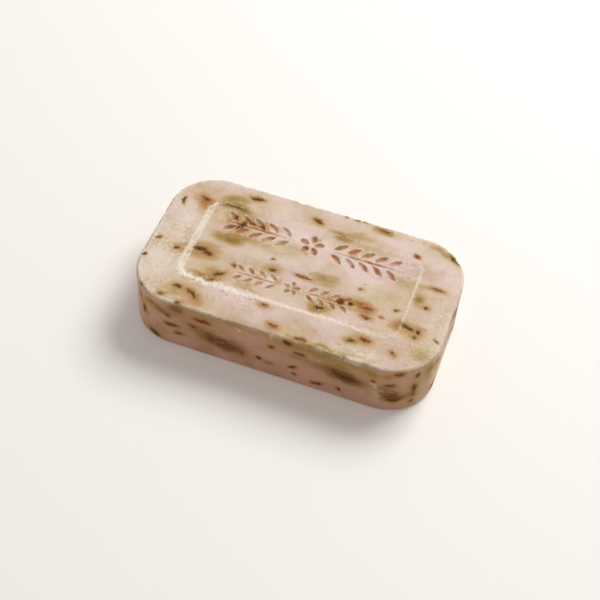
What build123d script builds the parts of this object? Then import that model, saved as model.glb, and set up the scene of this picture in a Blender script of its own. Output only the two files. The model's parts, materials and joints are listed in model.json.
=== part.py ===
"""A pressed bar of toilet soap: a rounded slab with a stamped panel in its upper face.

The bar lies flat. The origin is the middle of its underside, +X runs along its length and +Z is up.
The panel is a shallow recess with sloping walls, and a leaf border is stamped into its floor in two rows.
All sizes are in millimetres.
"""

import math
import os

from build123d import *

# The slab
bar_length = 100.0
bar_width = 56.0
bar_height = 21.0
corner_radius = 15.7  # plan corners, the same from top to bottom
top_edge_radius = 0.9
bottom_edge_radius = 1.2

# The stamped panel, which sits a little towards the back of the bar
panel_length = 73.5  # at its mouth
panel_width = 34.5
panel_corner_radius = 5.6
panel_depth = 0.9
panel_wall_run = 1.7  # plan distance that the sloping wall takes
panel_shift_x = -0.5
panel_shift_y = 1.2
mouth_edge_break = 0.3  # the small bevel round its mouth

# The upper row of the leaf border
upper_row_y = 10.0  # from the middle of the panel
upper_blossom_radius = 4.4
upper_leaf_length = 5.4
upper_leaf_width = 1.9
upper_leaf_pairs = 5
upper_leaf_pitch = 4.6
upper_stem_width = 0.9

# The lower row, smaller and shorter
lower_row_y = -9.0
lower_blossom_radius = 2.9
lower_leaf_length = 3.7
lower_leaf_width = 1.4
lower_leaf_pairs = 4
lower_leaf_pitch = 3.7
lower_stem_width = 0.7

# What both rows share
leaf_angle = 38.0  # degrees between a leaf and its stem
mark_gap = 0.45  # soap left standing between two neighbouring marks
mark_depth_share = 0.3  # a mark's depth over its width
mark_draft = 40.0  # degrees that a mark's walls lean from upright
petal_count = 5
petal_width_share = 0.62  # a petal's width over its length
eye_share = 0.2  # the plain eye of a blossom over the blossom's radius

panel_floor_z = bar_height - panel_depth
panel_slope = math.degrees(math.atan(panel_wall_run / panel_depth))


def punch(length, width):
    """The punch for one mark: an eye-shaped outline in the floor's plane that narrows as it goes down."""
    with BuildPart() as mark:
        with BuildSketch():
            with BuildLine():
                upper_side = ThreePointArc((-length / 2, 0), (0, width / 2), (length / 2, 0))
                ThreePointArc(upper_side @ 1, (0, -width / 2), upper_side @ 0)
            make_face()
        extrude(amount=-width * mark_depth_share, taper=mark_draft)
    return mark.part


def petal_places(radius):
    """Places of a blossom's petals, which run out from its eye to its radius."""
    middle = radius * (1 + eye_share) / 2
    return [
        Location((0, 0, 0), (0, 0, 90 + 360 * turn / petal_count)) * Location((middle, 0, 0))
        for turn in range(petal_count)
    ]


def leaf_places(first_x, pitch, pairs, length, stem_width):
    """Places of the leaves on the right-hand half of a row, in pairs above and below the stem."""
    lean = math.radians(leaf_angle)
    rise = stem_width / 2 + mark_gap + length / 2 * math.sin(lean)
    reach = length / 2 * math.cos(lean)
    return [
        Location((first_x + pair * pitch + reach, side * rise, 0), (0, 0, side * leaf_angle))
        for pair in range(pairs)
        for side in (1, -1)
    ]


def row_marks(blossom_radius, leaf_length, leaf_width, pairs, pitch, stem_width):
    """All the punches of one row, about the row's own middle: a blossom, two stems and their leaves."""
    petal_length = blossom_radius * (1 - eye_share)
    petal = punch(petal_length, petal_length * petal_width_share)
    leaf = punch(leaf_length, leaf_width)
    stem_start = blossom_radius + mark_gap
    stem_length = pairs * pitch + leaf_length * math.cos(math.radians(leaf_angle))
    stem = punch(stem_length, stem_width)
    right_half = [stem.moved(Location((stem_start + stem_length / 2, 0, 0)))]
    for place in leaf_places(stem_start + pitch / 2, pitch, pairs, leaf_length, stem_width):
        right_half.append(leaf.moved(place))
    marks = [petal.moved(place) for place in petal_places(blossom_radius)]
    for mark in right_half:
        marks.append(mark)
        marks.append(mark.mirror(Plane.YZ))
    return marks


# The punches of the two rows
upper_marks = row_marks(
    upper_blossom_radius, upper_leaf_length, upper_leaf_width,
    upper_leaf_pairs, upper_leaf_pitch, upper_stem_width,
)
lower_marks = row_marks(
    lower_blossom_radius, lower_leaf_length, lower_leaf_width,
    lower_leaf_pairs, lower_leaf_pitch, lower_stem_width,
)

# The bar, in one piece
with BuildPart() as soap_bar:
    with BuildSketch():
        RectangleRounded(bar_length, bar_width, corner_radius)
    extrude(amount=bar_height)
    fillet(soap_bar.faces().sort_by(Axis.Z)[-1].edges(), top_edge_radius)
    fillet(soap_bar.faces().sort_by(Axis.Z)[0].edges(), bottom_edge_radius)

    # The panel's recess, whose walls close in towards its floor
    with BuildSketch(Plane((panel_shift_x, panel_shift_y, bar_height))):
        RectangleRounded(panel_length, panel_width, panel_corner_radius)
    extrude(amount=-panel_depth, taper=panel_slope, mode=Mode.SUBTRACT)
    upper_face = soap_bar.faces().filter_by(Plane.XY).sort_by(Axis.Z)[-1]
    chamfer(upper_face.inner_wires()[0].edges(), mouth_edge_break)

    # The leaf border, stamped into the floor
    for row_y, marks in ((upper_row_y, upper_marks), (lower_row_y, lower_marks)):
        row_place = Location((panel_shift_x, panel_shift_y + row_y, panel_floor_z))
        add([mark.moved(row_place) for mark in marks], mode=Mode.SUBTRACT)

soap_bar.part.label = "soap_bar"

os.makedirs("parts", exist_ok=True)
export_step(soap_bar.part, "parts/soap_bar.step")
print(f"soap_bar: {soap_bar.part.volume / 1000:.1f} cm3, {len(soap_bar.part.faces())} faces")
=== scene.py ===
"""A pressed bar of petal soap, dressed on the form of its CAD solid.

The bar's skin is one fine mesh with the solid's own outline, recess and stamped border, worn and chipped
as a used bar is. Dried petals lie in the skin and crumbs of soap along its edges. The places of the petals
and stains on the upper face and the front are given one by one, and chance fills the other sides and the
underside. Lengths in the tables and the mesh code are in millimetres, and Blender's own are in metres.
"""

import json
import math
from collections import namedtuple
from typing import NamedTuple

import bpy
import numpy as np
from mathutils import Matrix, Vector, noise

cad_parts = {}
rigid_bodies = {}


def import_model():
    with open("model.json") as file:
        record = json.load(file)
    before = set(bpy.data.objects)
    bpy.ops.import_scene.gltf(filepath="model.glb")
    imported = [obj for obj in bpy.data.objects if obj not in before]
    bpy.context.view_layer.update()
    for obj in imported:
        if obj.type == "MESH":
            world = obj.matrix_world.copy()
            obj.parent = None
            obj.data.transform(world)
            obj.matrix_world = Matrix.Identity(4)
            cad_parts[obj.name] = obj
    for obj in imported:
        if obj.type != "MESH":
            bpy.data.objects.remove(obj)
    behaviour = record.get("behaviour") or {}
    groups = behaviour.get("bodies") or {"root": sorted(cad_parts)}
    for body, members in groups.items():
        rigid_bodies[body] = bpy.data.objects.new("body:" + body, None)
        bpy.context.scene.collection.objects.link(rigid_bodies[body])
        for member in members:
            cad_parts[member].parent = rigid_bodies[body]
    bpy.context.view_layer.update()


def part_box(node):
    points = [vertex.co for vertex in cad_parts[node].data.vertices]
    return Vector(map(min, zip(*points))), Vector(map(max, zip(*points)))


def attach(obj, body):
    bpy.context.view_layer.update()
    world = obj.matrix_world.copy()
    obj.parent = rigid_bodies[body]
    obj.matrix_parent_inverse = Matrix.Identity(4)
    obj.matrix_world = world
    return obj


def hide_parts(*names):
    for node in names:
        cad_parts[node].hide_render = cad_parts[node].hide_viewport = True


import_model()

bl_info = {
    "name": "Petal soap bar",
    "version": (1, 0, 0),
    "blender": (4, 5, 0),
    "location": "3D View > Sidebar > Soap",
    "description": "Builds a worn, stamped bar of soap with dried petals in it",
    "category": "Object",
}

MM = 0.001
UP = Vector((0, 0, 1))
NODE = "soap_bar"
BODY = "root"

# Sockets of the Mix node when it mixes colours
MIX_FACTOR = 0
MIX_FIRST = 6
MIX_SECOND = 7

# Petals in the upper face: x, y, length, width, turn in degrees, reach of the halo, redness
TOP_PETALS = (
    (-23.5, 23.5, 5.2, 1.3, 0, 1.3, 0.3),
    (-39.5, 17.2, 3.2, 1.3, -15, 2.2, 0.8),
    (-46.0, 14.0, 2.8, 0.7, 105, 0.4, 0.0),
    (-1.8, 21.8, 4.0, 1.2, -18, 1.6, 0.3),
    (-33.2, -3.0, 4.2, 1.5, 12, 2.6, 0.1),
    (-30.3, -3.8, 3.0, 1.6, -20, 1.8, 0.4),
    (-40.0, -6.2, 1.6, 0.9, 0, 2.0, 0.3),
    (-47.0, -4.2, 2.0, 1.0, 30, 1.2, 0.5),
    (-24.0, -10.6, 4.4, 1.3, 32, 2.0, 0.2),
    (-25.8, -13.8, 2.6, 0.9, 38, 1.2, 0.5),
    (-33.5, -20.8, 3.2, 1.2, -8, 1.0, 0.3),
    (-28.4, -21.9, 4.8, 1.2, -34, 1.8, 0.5),
    (-37.4, -25.4, 1.4, 0.8, 0, 0.8, 0.0),
    (-30.8, -26.9, 2.2, 0.8, -5, 1.2, 0.6),
    (-6.0, -17.8, 2.0, 1.0, -5, 1.7, 0.9),
    (-0.8, -24.3, 3.0, 0.9, -4, 1.6, 0.8),
    (-20.6, -5.6, 1.7, 1.1, -30, 0.6, 1.0),
    (-8.6, -2.9, 2.0, 1.1, 10, 1.5, 0.3),
    (-10.1, 1.6, 0.8, 0.6, 0, 0.3, 0.1),
    (1.4, -2.1, 5.4, 0.8, -8, 0.7, 0.9),
    (10.0, -11.8, 3.2, 1.2, 0, 1.4, 0.1),
    (20.0, 26.0, 3.2, 0.7, 0, 0.7, 0.0),
    (44.6, 22.4, 4.6, 0.9, -34, 1.0, 0.0),
    (33.0, 19.3, 2.0, 1.3, -10, 0.7, 0.9),
    (43.2, 8.2, 3.8, 0.9, -3, 1.2, 0.1),
    (41.2, -0.2, 1.5, 0.9, 0, 1.2, 0.2),
    (20.2, -0.2, 1.2, 0.6, 0, 0.5, 0.5),
    (33.1, -4.2, 1.7, 0.7, 25, 0.5, 0.5),
    (29.6, -8.5, 0.9, 0.6, 0, 0.4, 0.6),
    (21.4, -5.5, 2.2, 0.6, -5, 1.2, 0.6),
    (23.8, -6.7, 4.2, 0.9, -6, 1.4, 0.8),
    (25.0, -10.2, 3.2, 0.7, -4, 0.8, 0.7),
    (38.2, -9.7, 4.6, 1.4, -14, 2.0, 0.3),
    (41.7, -10.1, 1.5, 1.5, 20, 1.2, 0.1),
    (41.3, -12.7, 1.5, 0.9, 0, 0.8, 0.5),
    (27.3, -19.0, 3.2, 1.3, -8, 1.8, 0.7),
    (23.8, -20.8, 2.4, 1.1, 0, 1.0, 0.0),
    (36.8, -20.9, 2.0, 0.9, -40, 1.4, 0.3),
    (9.0, -26.3, 3.8, 0.9, 4, 1.3, 0.4),
    (48.0, -11.6, 1.6, 0.6, -40, 0.3, 0.1),
    (15.4, -7.2, 3.0, 2.2, 20, 1.4, 0.5),
    (18.7, -6.6, 1.7, 1.3, 0, 1.0, 0.0),
    (-24.4, 11.4, 4.6, 2.0, 70, 1.3, 0.4),
    (-18.0, 12.8, 2.6, 1.2, -35, 1.2, 0.8),
    (6.4, 27.4, 1.2, 0.6, 0, 0.3, 0.2),
    (10.2, 27.3, 1.8, 0.7, -5, 0.3, 0.1),
    (12.8, 27.2, 1.0, 0.6, 0, 0.3, 0.3),
    (-27.6, 13.6, 2.2, 0.9, 40, 1.0, 0.1),
    (-48.8, -12.4, 1.0, 0.7, 20, 0.3, 0.1),
    (-45.2, -24.2, 1.4, 0.9, 0, 0.5, 0.2),
    (-21.2, 13.2, 2.0, 1.0, -20, 1.0, 0.5),
    # Painted shadow: a dark streak on the recess's back wall, partly a petal and partly the wall's shade
    (-28.6, 17.3, 6.6, 0.7, -5, 0.8, 0.0),
)

# Olive stains in the upper face, and painted shade at the recess's back wall and inside its front lip: x, y,
# length, width, turn, strength
TOP_STAINS = (
    (-26.5, 4.6, 14.0, 6.0, 0, 0.78),
    (-30.5, 20.3, 13.0, 5.0, 0, 0.60),
    # Partly painted shadow: the dark olive band on the recess's back wall, a stain and the wall's shade
    (-29.0, 17.4, 11.0, 2.4, -4, 0.90),
    (-32.0, -4.0, 13.0, 7.0, 0, 0.45),
    (-27.0, -12.3, 10.0, 6.5, 20, 0.60),
    (-38.5, 12.0, 5.0, 9.0, 0, 0.30),
    (-36.5, -2.8, 3.0, 4.0, 0, 0.45),
    (-9.0, -3.0, 10.0, 5.0, 0, 0.40),
    (-14.5, -11.0, 9.0, 5.0, 0, 0.35),
    (8.5, 18.3, 12.0, 4.2, 0, 0.75),
    (8.0, -0.6, 13.0, 5.5, 0, 0.60),
    (10.0, -12.0, 8.0, 4.5, 0, 0.65),
    (20.0, 25.3, 10.0, 4.5, 0, 0.70),
    (40.5, 23.6, 12.0, 4.0, -15, 0.55),
    (40.5, 8.2, 9.0, 3.0, 0, 0.40),
    (38.6, 2.2, 5.5, 5.5, 0, 0.72),
    (22.0, -6.0, 13.0, 7.0, 0, 0.35),
    (24.0, -20.5, 6.0, 3.2, 0, 0.50),
    (38.0, -10.0, 9.0, 5.5, 0, 0.55),
    (45.4, -18.4, 8.0, 8.0, 0, 0.42),
    (16.0, -26.6, 18.0, 2.4, 0, 0.55),
    (-34.0, -22.6, 15.0, 8.0, 0, 0.45),
    (31.0, 1.0, 12.0, 7.0, 0, 0.25),
    (-25.0, 12.4, 17.0, 9.0, -4, 0.60),
    (13.0, -7.6, 16.0, 6.0, 0, 0.50),
    (32.0, 7.6, 12.0, 6.0, -4, 0.40),
    (-20.0, 6.0, 26.0, 4.0, 0, 0.35),
    # Painted shade: two dark bands on the recess's floor just inside its front lip
    (-30.0, -12.6, 14.0, 2.4, -6, 0.50),
    (-13.0, -13.2, 14.0, 2.0, -4, 0.35),
    (14.0, 20.6, 16.0, 5.0, -6, 0.35),
    (-4.0, 8.0, 14.0, 4.0, 0, 0.25),
)

# Yellowed areas of the upper face: x, y, length, width, turn, strength
TOP_CREAM = (
    (-43.0, 20.0, 16.0, 12.0, 30, 0.60),
    (-20.0, 21.0, 30.0, 8.0, 0, 0.55),
    (-10.0, 6.0, 34.0, 10.0, 0, 0.75),
    (28.0, -1.5, 26.0, 11.0, 0, 0.85),
    (4.0, -11.0, 44.0, 7.0, 0, 0.70),
    (-29.0, -9.5, 18.0, 10.0, 0, 0.85),
    (-36.0, -17.0, 14.0, 12.0, 0, 0.45),
    (38.0, 22.0, 22.0, 7.0, -15, 0.60),
    (14.0, 16.0, 30.0, 6.0, 0, 0.55),
    (46.5, 2.0, 7.0, 26.0, 0, 0.50),
    (45.0, -15.0, 10.0, 16.0, 20, 0.55),
    (-34.0, 3.0, 18.0, 8.0, 0, 0.35),
    (10.0, -26.0, 40.0, 4.0, 0, 0.50),
)

# Deeper pink areas of the upper face: x, y, length, width, turn, strength
TOP_DEEP = (
    (8.0, -22.0, 56.0, 13.0, 0, 0.75),
    (34.0, -19.0, 36.0, 20.0, 0, 0.85),
    (28.0, 13.0, 40.0, 18.0, -10, 0.75),
    (2.0, -3.0, 44.0, 14.0, 0, 0.65),
    (4.0, 23.0, 34.0, 9.0, 0, 0.60),
    (40.0, 4.0, 16.0, 20.0, 0, 0.40),
)

# Sandy rough areas of the upper face: x, y, length, width, turn, strength
TOP_SAND = (
    (-38.0, -22.5, 17.0, 9.0, -25, 0.85),
    (43.5, -18.0, 12.0, 15.0, 35, 0.95),
    (47.0, -4.0, 5.0, 24.0, 0, 0.65),
    (12.0, -26.2, 46.0, 3.4, 0, 0.80),
    (-42.0, 20.0, 16.0, 8.0, 35, 0.55),
    (36.0, 0.0, 16.0, 12.0, 0, 0.45),
    (14.0, 19.5, 16.0, 5.0, 0, 0.50),
    (24.0, 25.6, 24.0, 3.4, -6, 0.60),
    (-26.0, -11.0, 20.0, 7.0, 0, 0.50),
    (-28.0, 16.0, 16.0, 6.0, 0, 0.50),
)

# Rusty stains in the upper face: x, y, length, width, turn, strength
TOP_RUST = (
    (-38.4, 15.2, 9.0, 7.0, -20, 0.80),
    (-26.0, -24.2, 8.0, 5.0, -20, 0.50),
    (-34.0, -4.5, 9.0, 5.0, 0, 0.35),
    (34.8, -9.8, 6.0, 5.0, 0, 0.70),
    (23.8, -7.4, 10.0, 6.0, 0, 0.60),
    (27.0, -19.3, 7.0, 4.5, 0, 0.45),
    (0.8, 14.4, 5.0, 4.0, 0, 0.55),
    (13.5, 13.6, 4.0, 5.0, 0, 0.55),
    (9.0, 10.0, 6.0, 3.0, 0, 0.50),
    (-24.5, 11.5, 7.0, 7.0, 0, 0.60),
    (-17.8, 12.4, 5.0, 5.0, 0, 0.60),
    (-11.5, 13.2, 6.0, 3.5, 0, 0.40),
    (-5.2, -7.4, 4.0, 5.5, 0, 0.50),
    (1.0, -7.4, 6.0, 4.0, 0, 0.55),
    (13.5, -7.6, 9.0, 5.0, 0, 0.65),
    (17.6, 13.8, 3.5, 4.5, 0, 0.45),
    (-11.5, -7.6, 4.5, 4.0, 0, 0.45),
)

# Petals in the front side and its corners: run along the outline from the front's middle, height,
# length, width, turn, reach of the halo, redness
SIDE_PETALS = (
    (-22.5, 16.8, 5.6, 1.2, 2, 1.0, 0.9),
    (-33.0, 10.3, 4.2, 0.9, -3, 1.0, 0.6),
    (-25.2, 12.9, 1.8, 1.2, -10, 0.8, 0.4),
    (-34.2, 14.5, 1.4, 0.9, 20, 0.8, 0.4),
    (-46.0, 15.6, 2.6, 0.8, 55, 0.6, 0.1),
    (-44.0, 10.6, 1.3, 3.6, 10, 1.0, 0.0),
    (-39.2, 2.3, 3.6, 1.5, 10, 1.2, 0.3),
    (-31.0, 6.8, 2.0, 0.8, 0, 0.8, 0.5),
    (-3.3, 7.6, 1.9, 1.5, 30, 0.9, 0.3),
    (0.3, 15.3, 1.3, 1.4, 0, 0.7, 0.6),
    (-9.4, 7.2, 1.2, 0.8, 0, 0.4, 0.6),
    (5.6, 19.4, 2.8, 1.4, 0, 0.9, 0.2),
    (9.8, 15.9, 3.4, 0.8, 4, 0.6, 0.6),
    (7.6, 8.4, 2.6, 1.3, -30, 0.8, 0.6),
    (8.3, 5.0, 1.3, 0.8, 0, 0.4, 0.5),
    (16.3, 4.0, 3.6, 1.1, -4, 0.9, 0.8),
    (23.0, 4.5, 1.4, 1.0, 0, 0.4, 0.6),
    (24.6, 11.6, 8.6, 1.5, 9, 1.6, 0.0),
    (33.6, 14.3, 1.5, 0.9, 0, 0.7, 0.1),
    (39.0, 13.7, 3.2, 1.0, -5, 0.7, 0.6),
    (41.2, 19.2, 2.4, 1.0, 0, 0.7, 0.3),
    (40.6, 6.2, 5.0, 1.7, 2, 1.6, 0.4),
    (47.4, 17.0, 1.3, 2.4, 10, 0.8, 0.6),
    (46.9, 10.6, 1.4, 4.2, 4, 1.0, 0.3),
    (47.2, 7.6, 1.1, 1.6, 0, 0.7, 0.4),
    (46.8, 3.7, 1.2, 0.9, -20, 0.5, 0.6),
)

# Brown smears where petals lie deeper in the front side: run, height, length, width, turn, strength
SIDE_SMEARS = (
    (-16.0, 8.6, 19.0, 7.0, 10, 0.70),
    (-10.5, 11.6, 7.0, 5.0, 0, 0.25),
    (-31.0, 18.6, 7.0, 4.6, 0, 0.45),
    (24.0, 11.8, 17.0, 6.0, 8, 0.88),
    (40.3, 7.4, 8.5, 5.5, 0, 0.75),
    (0.5, 6.4, 6.0, 3.0, 0, 0.35),
    (-33.0, 10.0, 7.0, 3.0, 0, 0.35),
    (-29.0, 7.0, 5.0, 2.5, 0, 0.30),
    (-36.0, 16.0, 15.0, 5.0, 4, 0.35),
    (-24.0, 13.0, 13.0, 5.0, 5, 0.30),
    (8.0, 14.0, 15.0, 4.0, 0, 0.25),
    (38.0, 12.0, 10.0, 8.0, 0, 0.30),
    (46.5, 10.0, 5.0, 14.0, 0, 0.30),
)

# Olive stains in the front side: run, height, length, width, turn, strength
SIDE_STAINS = (
    (22.0, 15.5, 15.0, 7.0, 0, 0.55),
    (-39.5, 17.0, 8.0, 4.5, 0, 0.60),
    (-44.0, 12.0, 4.5, 9.0, 0, 0.50),
    (-7.0, 2.6, 7.0, 3.0, 0, 0.35),
    (9.0, 17.0, 9.0, 4.0, 0, 0.35),
    (33.5, 17.8, 6.0, 3.5, 0, 0.50),
    (-40.0, 3.0, 8.0, 4.0, 0, 0.40),
    (52.0, 14.0, 6.0, 10.0, 0, 0.35),
    (16.0, 18.6, 46.0, 5.0, 0, 0.50),
    (-22.0, 18.8, 34.0, 4.0, 0, 0.40),
)

# Rusty stains in the front side: run, height, length, width, turn, strength
SIDE_RUST = (
    (38.0, 18.4, 9.0, 3.6, 0, 0.65),
    (40.5, 9.5, 9.0, 7.0, 0, 0.40),
    (-36.0, 15.5, 8.0, 4.0, 0, 0.35),
    (20.5, 5.2, 9.0, 3.0, 0, 0.30),
    (1.0, 16.5, 4.0, 3.0, 0, 0.35),
    (46.5, 8.0, 4.0, 12.0, 0, 0.35),
    (-15.0, 9.0, 24.0, 10.0, 8, 0.45),
    (24.0, 12.0, 22.0, 9.0, 8, 0.45),
    (-22.0, 17.0, 12.0, 4.0, 0, 0.35),
    (-31.0, 9.0, 12.0, 6.0, 0, 0.30),
    (12.0, 17.5, 16.0, 4.0, 0, 0.30),
)

# Sandy rough areas of the front side: run, height, length, width, turn, strength
SIDE_SAND = (
    (34.2, 9.5, 7.0, 14.0, 0, 0.95),
    (20.0, 18.0, 30.0, 4.0, 0, 0.60),
    (-40.0, 15.0, 8.0, 9.0, 0, 0.50),
    (54.0, 12.0, 6.0, 16.0, 0, 0.70),
)

# Pale rubbed patches of the upper face: x, y, length, width, turn, strength
TOP_PALE = (
    (-44.0, -13.0, 14.0, 26.0, 10, 0.62),
    (-42.0, 5.0, 10.0, 18.0, 0, 0.50),
    (-12.0, -20.0, 30.0, 7.0, 0, 0.25),
    (29.5, -24.2, 12.0, 4.0, 0, 0.50),
)

# Pale rubbed patches of the front side: run, height, length, width, turn, strength
SIDE_PALE = (
    (34.4, 9.5, 5.0, 12.0, 0, 0.45),
    (-28.2, 7.6, 2.0, 2.6, 0, 0.45),
    (-10.6, 18.4, 2.6, 1.6, 30, 0.80),
    (0.0, 19.3, 2.4, 2.0, 40, 0.75),
    (26.5, 20.0, 6.0, 2.4, 0, 0.90),
    (-15.0, 12.0, 1.2, 1.6, 0, 0.40),
    (-8.5, 2.8, 3.0, 1.6, 10, 0.40),
)

# Pits in the upper face: x, y, length, width, turn, depth
TOP_PITS = (
    (-46.0, 14.0, 2.6, 0.9, 105, 0.40),
    (-49.2, -12.7, 1.6, 1.6, 0, 0.50),
    (-43.2, -27.2, 1.6, 1.2, 0, 0.40),
    (-12.1, -13.4, 1.7, 1.5, 0, 0.35),
    (18.7, -6.6, 1.8, 1.6, 0, 0.25),
    (15.4, -7.2, 3.0, 2.4, 0, 0.30),
    (41.2, -0.2, 1.5, 1.2, 0, 0.45),
    (41.6, -10.0, 1.7, 2.2, 20, 0.50),
    (41.3, -12.7, 1.6, 1.2, 0, 0.45),
    (38.2, -9.7, 4.4, 2.4, -12, 0.25),
    (-33.2, -3.0, 4.4, 1.8, 12, 0.25),
    (44.6, 22.4, 4.6, 1.2, -34, 0.30),
    (46.3, -17.6, 4.0, 4.0, 0, 0.15),
)

# Chips and tears along the upper edge: run, height, length, width, turn, depth, and below 0 a raised flake
EDGE_CHIPS = (
    (26.4, 20.6, 5.6, 2.2, 0, -0.35),
    (23.4, 20.4, 2.4, 2.0, 0, 0.40),
    (30.2, 20.5, 2.6, 1.8, 0, 0.35),
    (-30.5, 20.6, 3.4, 2.0, 0, 0.35),
    (-10.6, 18.6, 2.4, 1.4, 30, -0.25),
    (0.2, 19.4, 2.2, 1.6, 40, -0.22),
    (-19.0, 20.8, 1.6, 1.2, 0, -0.25),
    (5.6, 19.6, 3.0, 1.8, 0, 0.30),
    (13.0, 20.7, 6.0, 1.8, 0, 0.25),
    (-133.5, 20.6, 4.0, 2.2, 0, 0.55),
    (-131.0, 20.6, 2.0, 1.8, 0, -0.25),
    (-137.5, 20.7, 3.4, 1.8, 0, 0.45),
    (-141.0, 20.7, 2.4, 1.4, 0, 0.30),
    (-117.0, 20.7, 3.0, 1.4, 0, 0.20),
    (-78.0, 20.6, 3.0, 1.6, 0, 0.30),
    (-62.0, 20.6, 2.0, 1.4, 0, 0.25),
    (58.0, 20.7, 2.4, 1.2, 0, 0.20),
    (95.0, 20.7, 4.0, 1.6, 0, 0.30),
    (112.0, 20.6, 2.6, 1.8, 0, 0.35),
)

Spot = namedtuple("Spot", "centre along across outward half_length half_width strength")
Petal = namedtuple("Petal", "spot halo redness")
Mark = namedtuple("Mark", "x y turn length width")


def linear(hex_colour):
    """A colour written as sRGB hex, in the linear values that Blender's colours hold."""
    parts = [int(hex_colour[place:place + 2], 16) / 255 for place in (1, 3, 5)]
    return [part / 12.92 if part <= 0.04045 else ((part + 0.055) / 1.055) ** 2.4 for part in parts]


def opaque(colour):
    """A linear colour with full alpha, as a shader's colour socket takes it."""
    return (*colour, 1.0)


def length_value(name, description, millimetres):
    """A length that a user may change, given in millimetres and kept in metres."""
    return bpy.props.FloatProperty(
        name=name, description=description, default=millimetres * MM, unit="LENGTH", precision=5
    )


def angle_value(name, description, degrees):
    """An angle that a user may change, given in degrees and kept in radians."""
    return bpy.props.FloatProperty(
        name=name, description=description, default=math.radians(degrees), subtype="ANGLE"
    )


def share_value(name, description, share):
    """A share from 0 to 1 that a user may change."""
    return bpy.props.FloatProperty(
        name=name, description=description, default=share, subtype="FACTOR", min=0, max=1
    )


def colour_value(name, description, hex_colour):
    """A colour that a user may change, given as sRGB hex and kept linear."""
    return bpy.props.FloatVectorProperty(
        name=name, description=description, default=linear(hex_colour), subtype="COLOR", min=0, max=1
    )


class SoapBarSizes(bpy.types.PropertyGroup):
    """Sizes of the bar's form, the same as those of its CAD solid."""

    corner_radius: length_value("Corner radius", "Radius of the bar's corners, seen from above", 15.7)
    top_edge_radius: length_value("Upper edge radius", "Rounding of the bar's upper edge", 0.9)
    bottom_edge_radius: length_value("Lower edge radius", "Rounding of the bar's lower edge", 1.2)
    panel_length: length_value("Panel length", "Length of the recess at its mouth", 73.5)
    panel_width: length_value("Panel width", "Width of the recess at its mouth", 34.5)
    panel_corner_radius: length_value("Panel corner radius", "Radius of the recess's corners", 5.6)
    panel_depth: length_value("Panel depth", "Depth of the recess before wear", 0.9)
    panel_wall_run: length_value("Panel wall run", "Distance over which the recess's wall slopes", 1.7)
    panel_shift_x: length_value("Panel shift along", "Offset of the recess along the bar", -0.5)
    panel_shift_y: length_value("Panel shift across", "Offset of the recess across the bar", 1.2)
    mark_gap: length_value("Mark gap", "Soap left standing between two stamped marks", 0.45)
    mark_depth_share: share_value("Mark depth share", "Depth of a stamped mark over its width", 0.3)
    mark_draft: angle_value("Mark draft", "Lean of a stamped mark's walls", 40)
    leaf_angle: angle_value("Leaf angle", "Angle between a leaf and its stem", 38)
    petal_count: bpy.props.IntProperty(
        name="Blossom petals", description="Petals of a stamped blossom", default=5
    )
    petal_width_share: share_value("Blossom petal width", "Width of a blossom's petal over its length", 0.62)
    eye_share: share_value("Blossom eye", "Plain eye of a blossom over the blossom's radius", 0.2)


class SoapRowSizes(bpy.types.PropertyGroup):
    """Sizes of one row of the stamped leaf border."""

    place: length_value("Place", "Distance of the row from the panel's middle", 10.0)
    blossom_radius: length_value("Blossom radius", "Radius of the row's blossom", 4.4)
    leaf_length: length_value("Leaf length", "Length of a leaf", 5.4)
    leaf_width: length_value("Leaf width", "Width of a leaf", 1.9)
    leaf_pairs: bpy.props.IntProperty(
        name="Leaf pairs", description="Pairs of leaves on each stem", default=5
    )
    leaf_pitch: length_value("Leaf pitch", "Distance from one pair of leaves to the next", 4.6)
    stem_width: length_value("Stem width", "Width of the stem at its middle", 0.9)


class SoapColours(bpy.types.PropertyGroup):
    """Colours of the soap, what is in it, what it stands on and what lights it."""

    pink: colour_value("Clean soap", "Soap with nothing in it", "#ebd3cd")
    deep: colour_value("Deep pink soap", "Soap that is less bleached", "#d7b8b5")
    cream: colour_value("Cream soap", "Soap that has yellowed a little", "#d0bd95")
    tan: colour_value("Tan streaks", "Thin streaks drawn out along the bar", "#bd9660")
    # Also the colour of the painted highlight along the upper edge
    pale: colour_value("Rubbed soap", "Dry soap rubbed up along the edges", "#ebe1cf")
    # Painted shade: the front side's tint makes it darker and warmer, as if in shade with warm light thrown
    # up at it
    side: colour_value("Front tint", "Tint of the front side, which is a little deeper in colour", "#f3d9d0")
    olive_faint: colour_value("Faint olive stain", "Thin edge of an olive stain", "#caaf7a")
    olive: colour_value("Olive stain", "Stain that a petal has bled into the soap", "#9a752d")
    rust_faint: colour_value("Faint rusty stain", "Thin edge of a rusty stain", "#d3ae82")
    rust: colour_value("Rusty stain", "Stain close round a petal", "#a86d24")
    smear_faint: colour_value("Faint brown smear", "Thin edge of a brown smear", "#a57d50")
    smear: colour_value("Brown smear", "Petal seen through a little soap", "#68370a")
    # Bottoms of the stamped marks: their own tint, darkened in part as painted shade in the hollows
    stamp: colour_value("Stamped soap", "Bottom of a stamped mark", "#9d7238")
    stamp_red: colour_value("Stamped red soap", "Bottom of a stamped mark where petals have bled", "#c27750")
    petal_dark: colour_value("Dark petal", "Dried petal, brown", "#573d16")
    petal_red: colour_value("Red petal", "Dried petal that has kept some red", "#843f1c")
    floor: colour_value("Floor", "Floor that the bar stands on", "#f4f1ec")
    bounce: colour_value("Floor bounce", "Light that the floor throws back on the bar", "#e8d4bc")
    fill: colour_value("Fill light", "Colour of the fill lamp, which warms the shaded side", "#f0ac74")


class SoapPetalSettings(bpy.types.PropertyGroup):
    """How the petals and crumbs are strewn."""

    seed: bpy.props.IntProperty(name="Seed", description="Seed of all chance places", default=11)
    lift: length_value("Petal lift", "How far a petal's middle stands out of the soap", 0.12)
    crumb_size: length_value("Crumb size", "Radius of the largest crumbs", 0.42)
    crumb_density: bpy.props.FloatProperty(
        name="Crumb density", description="Crumbs on a square metre of the most worn soap", default=600000.0
    )


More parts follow.
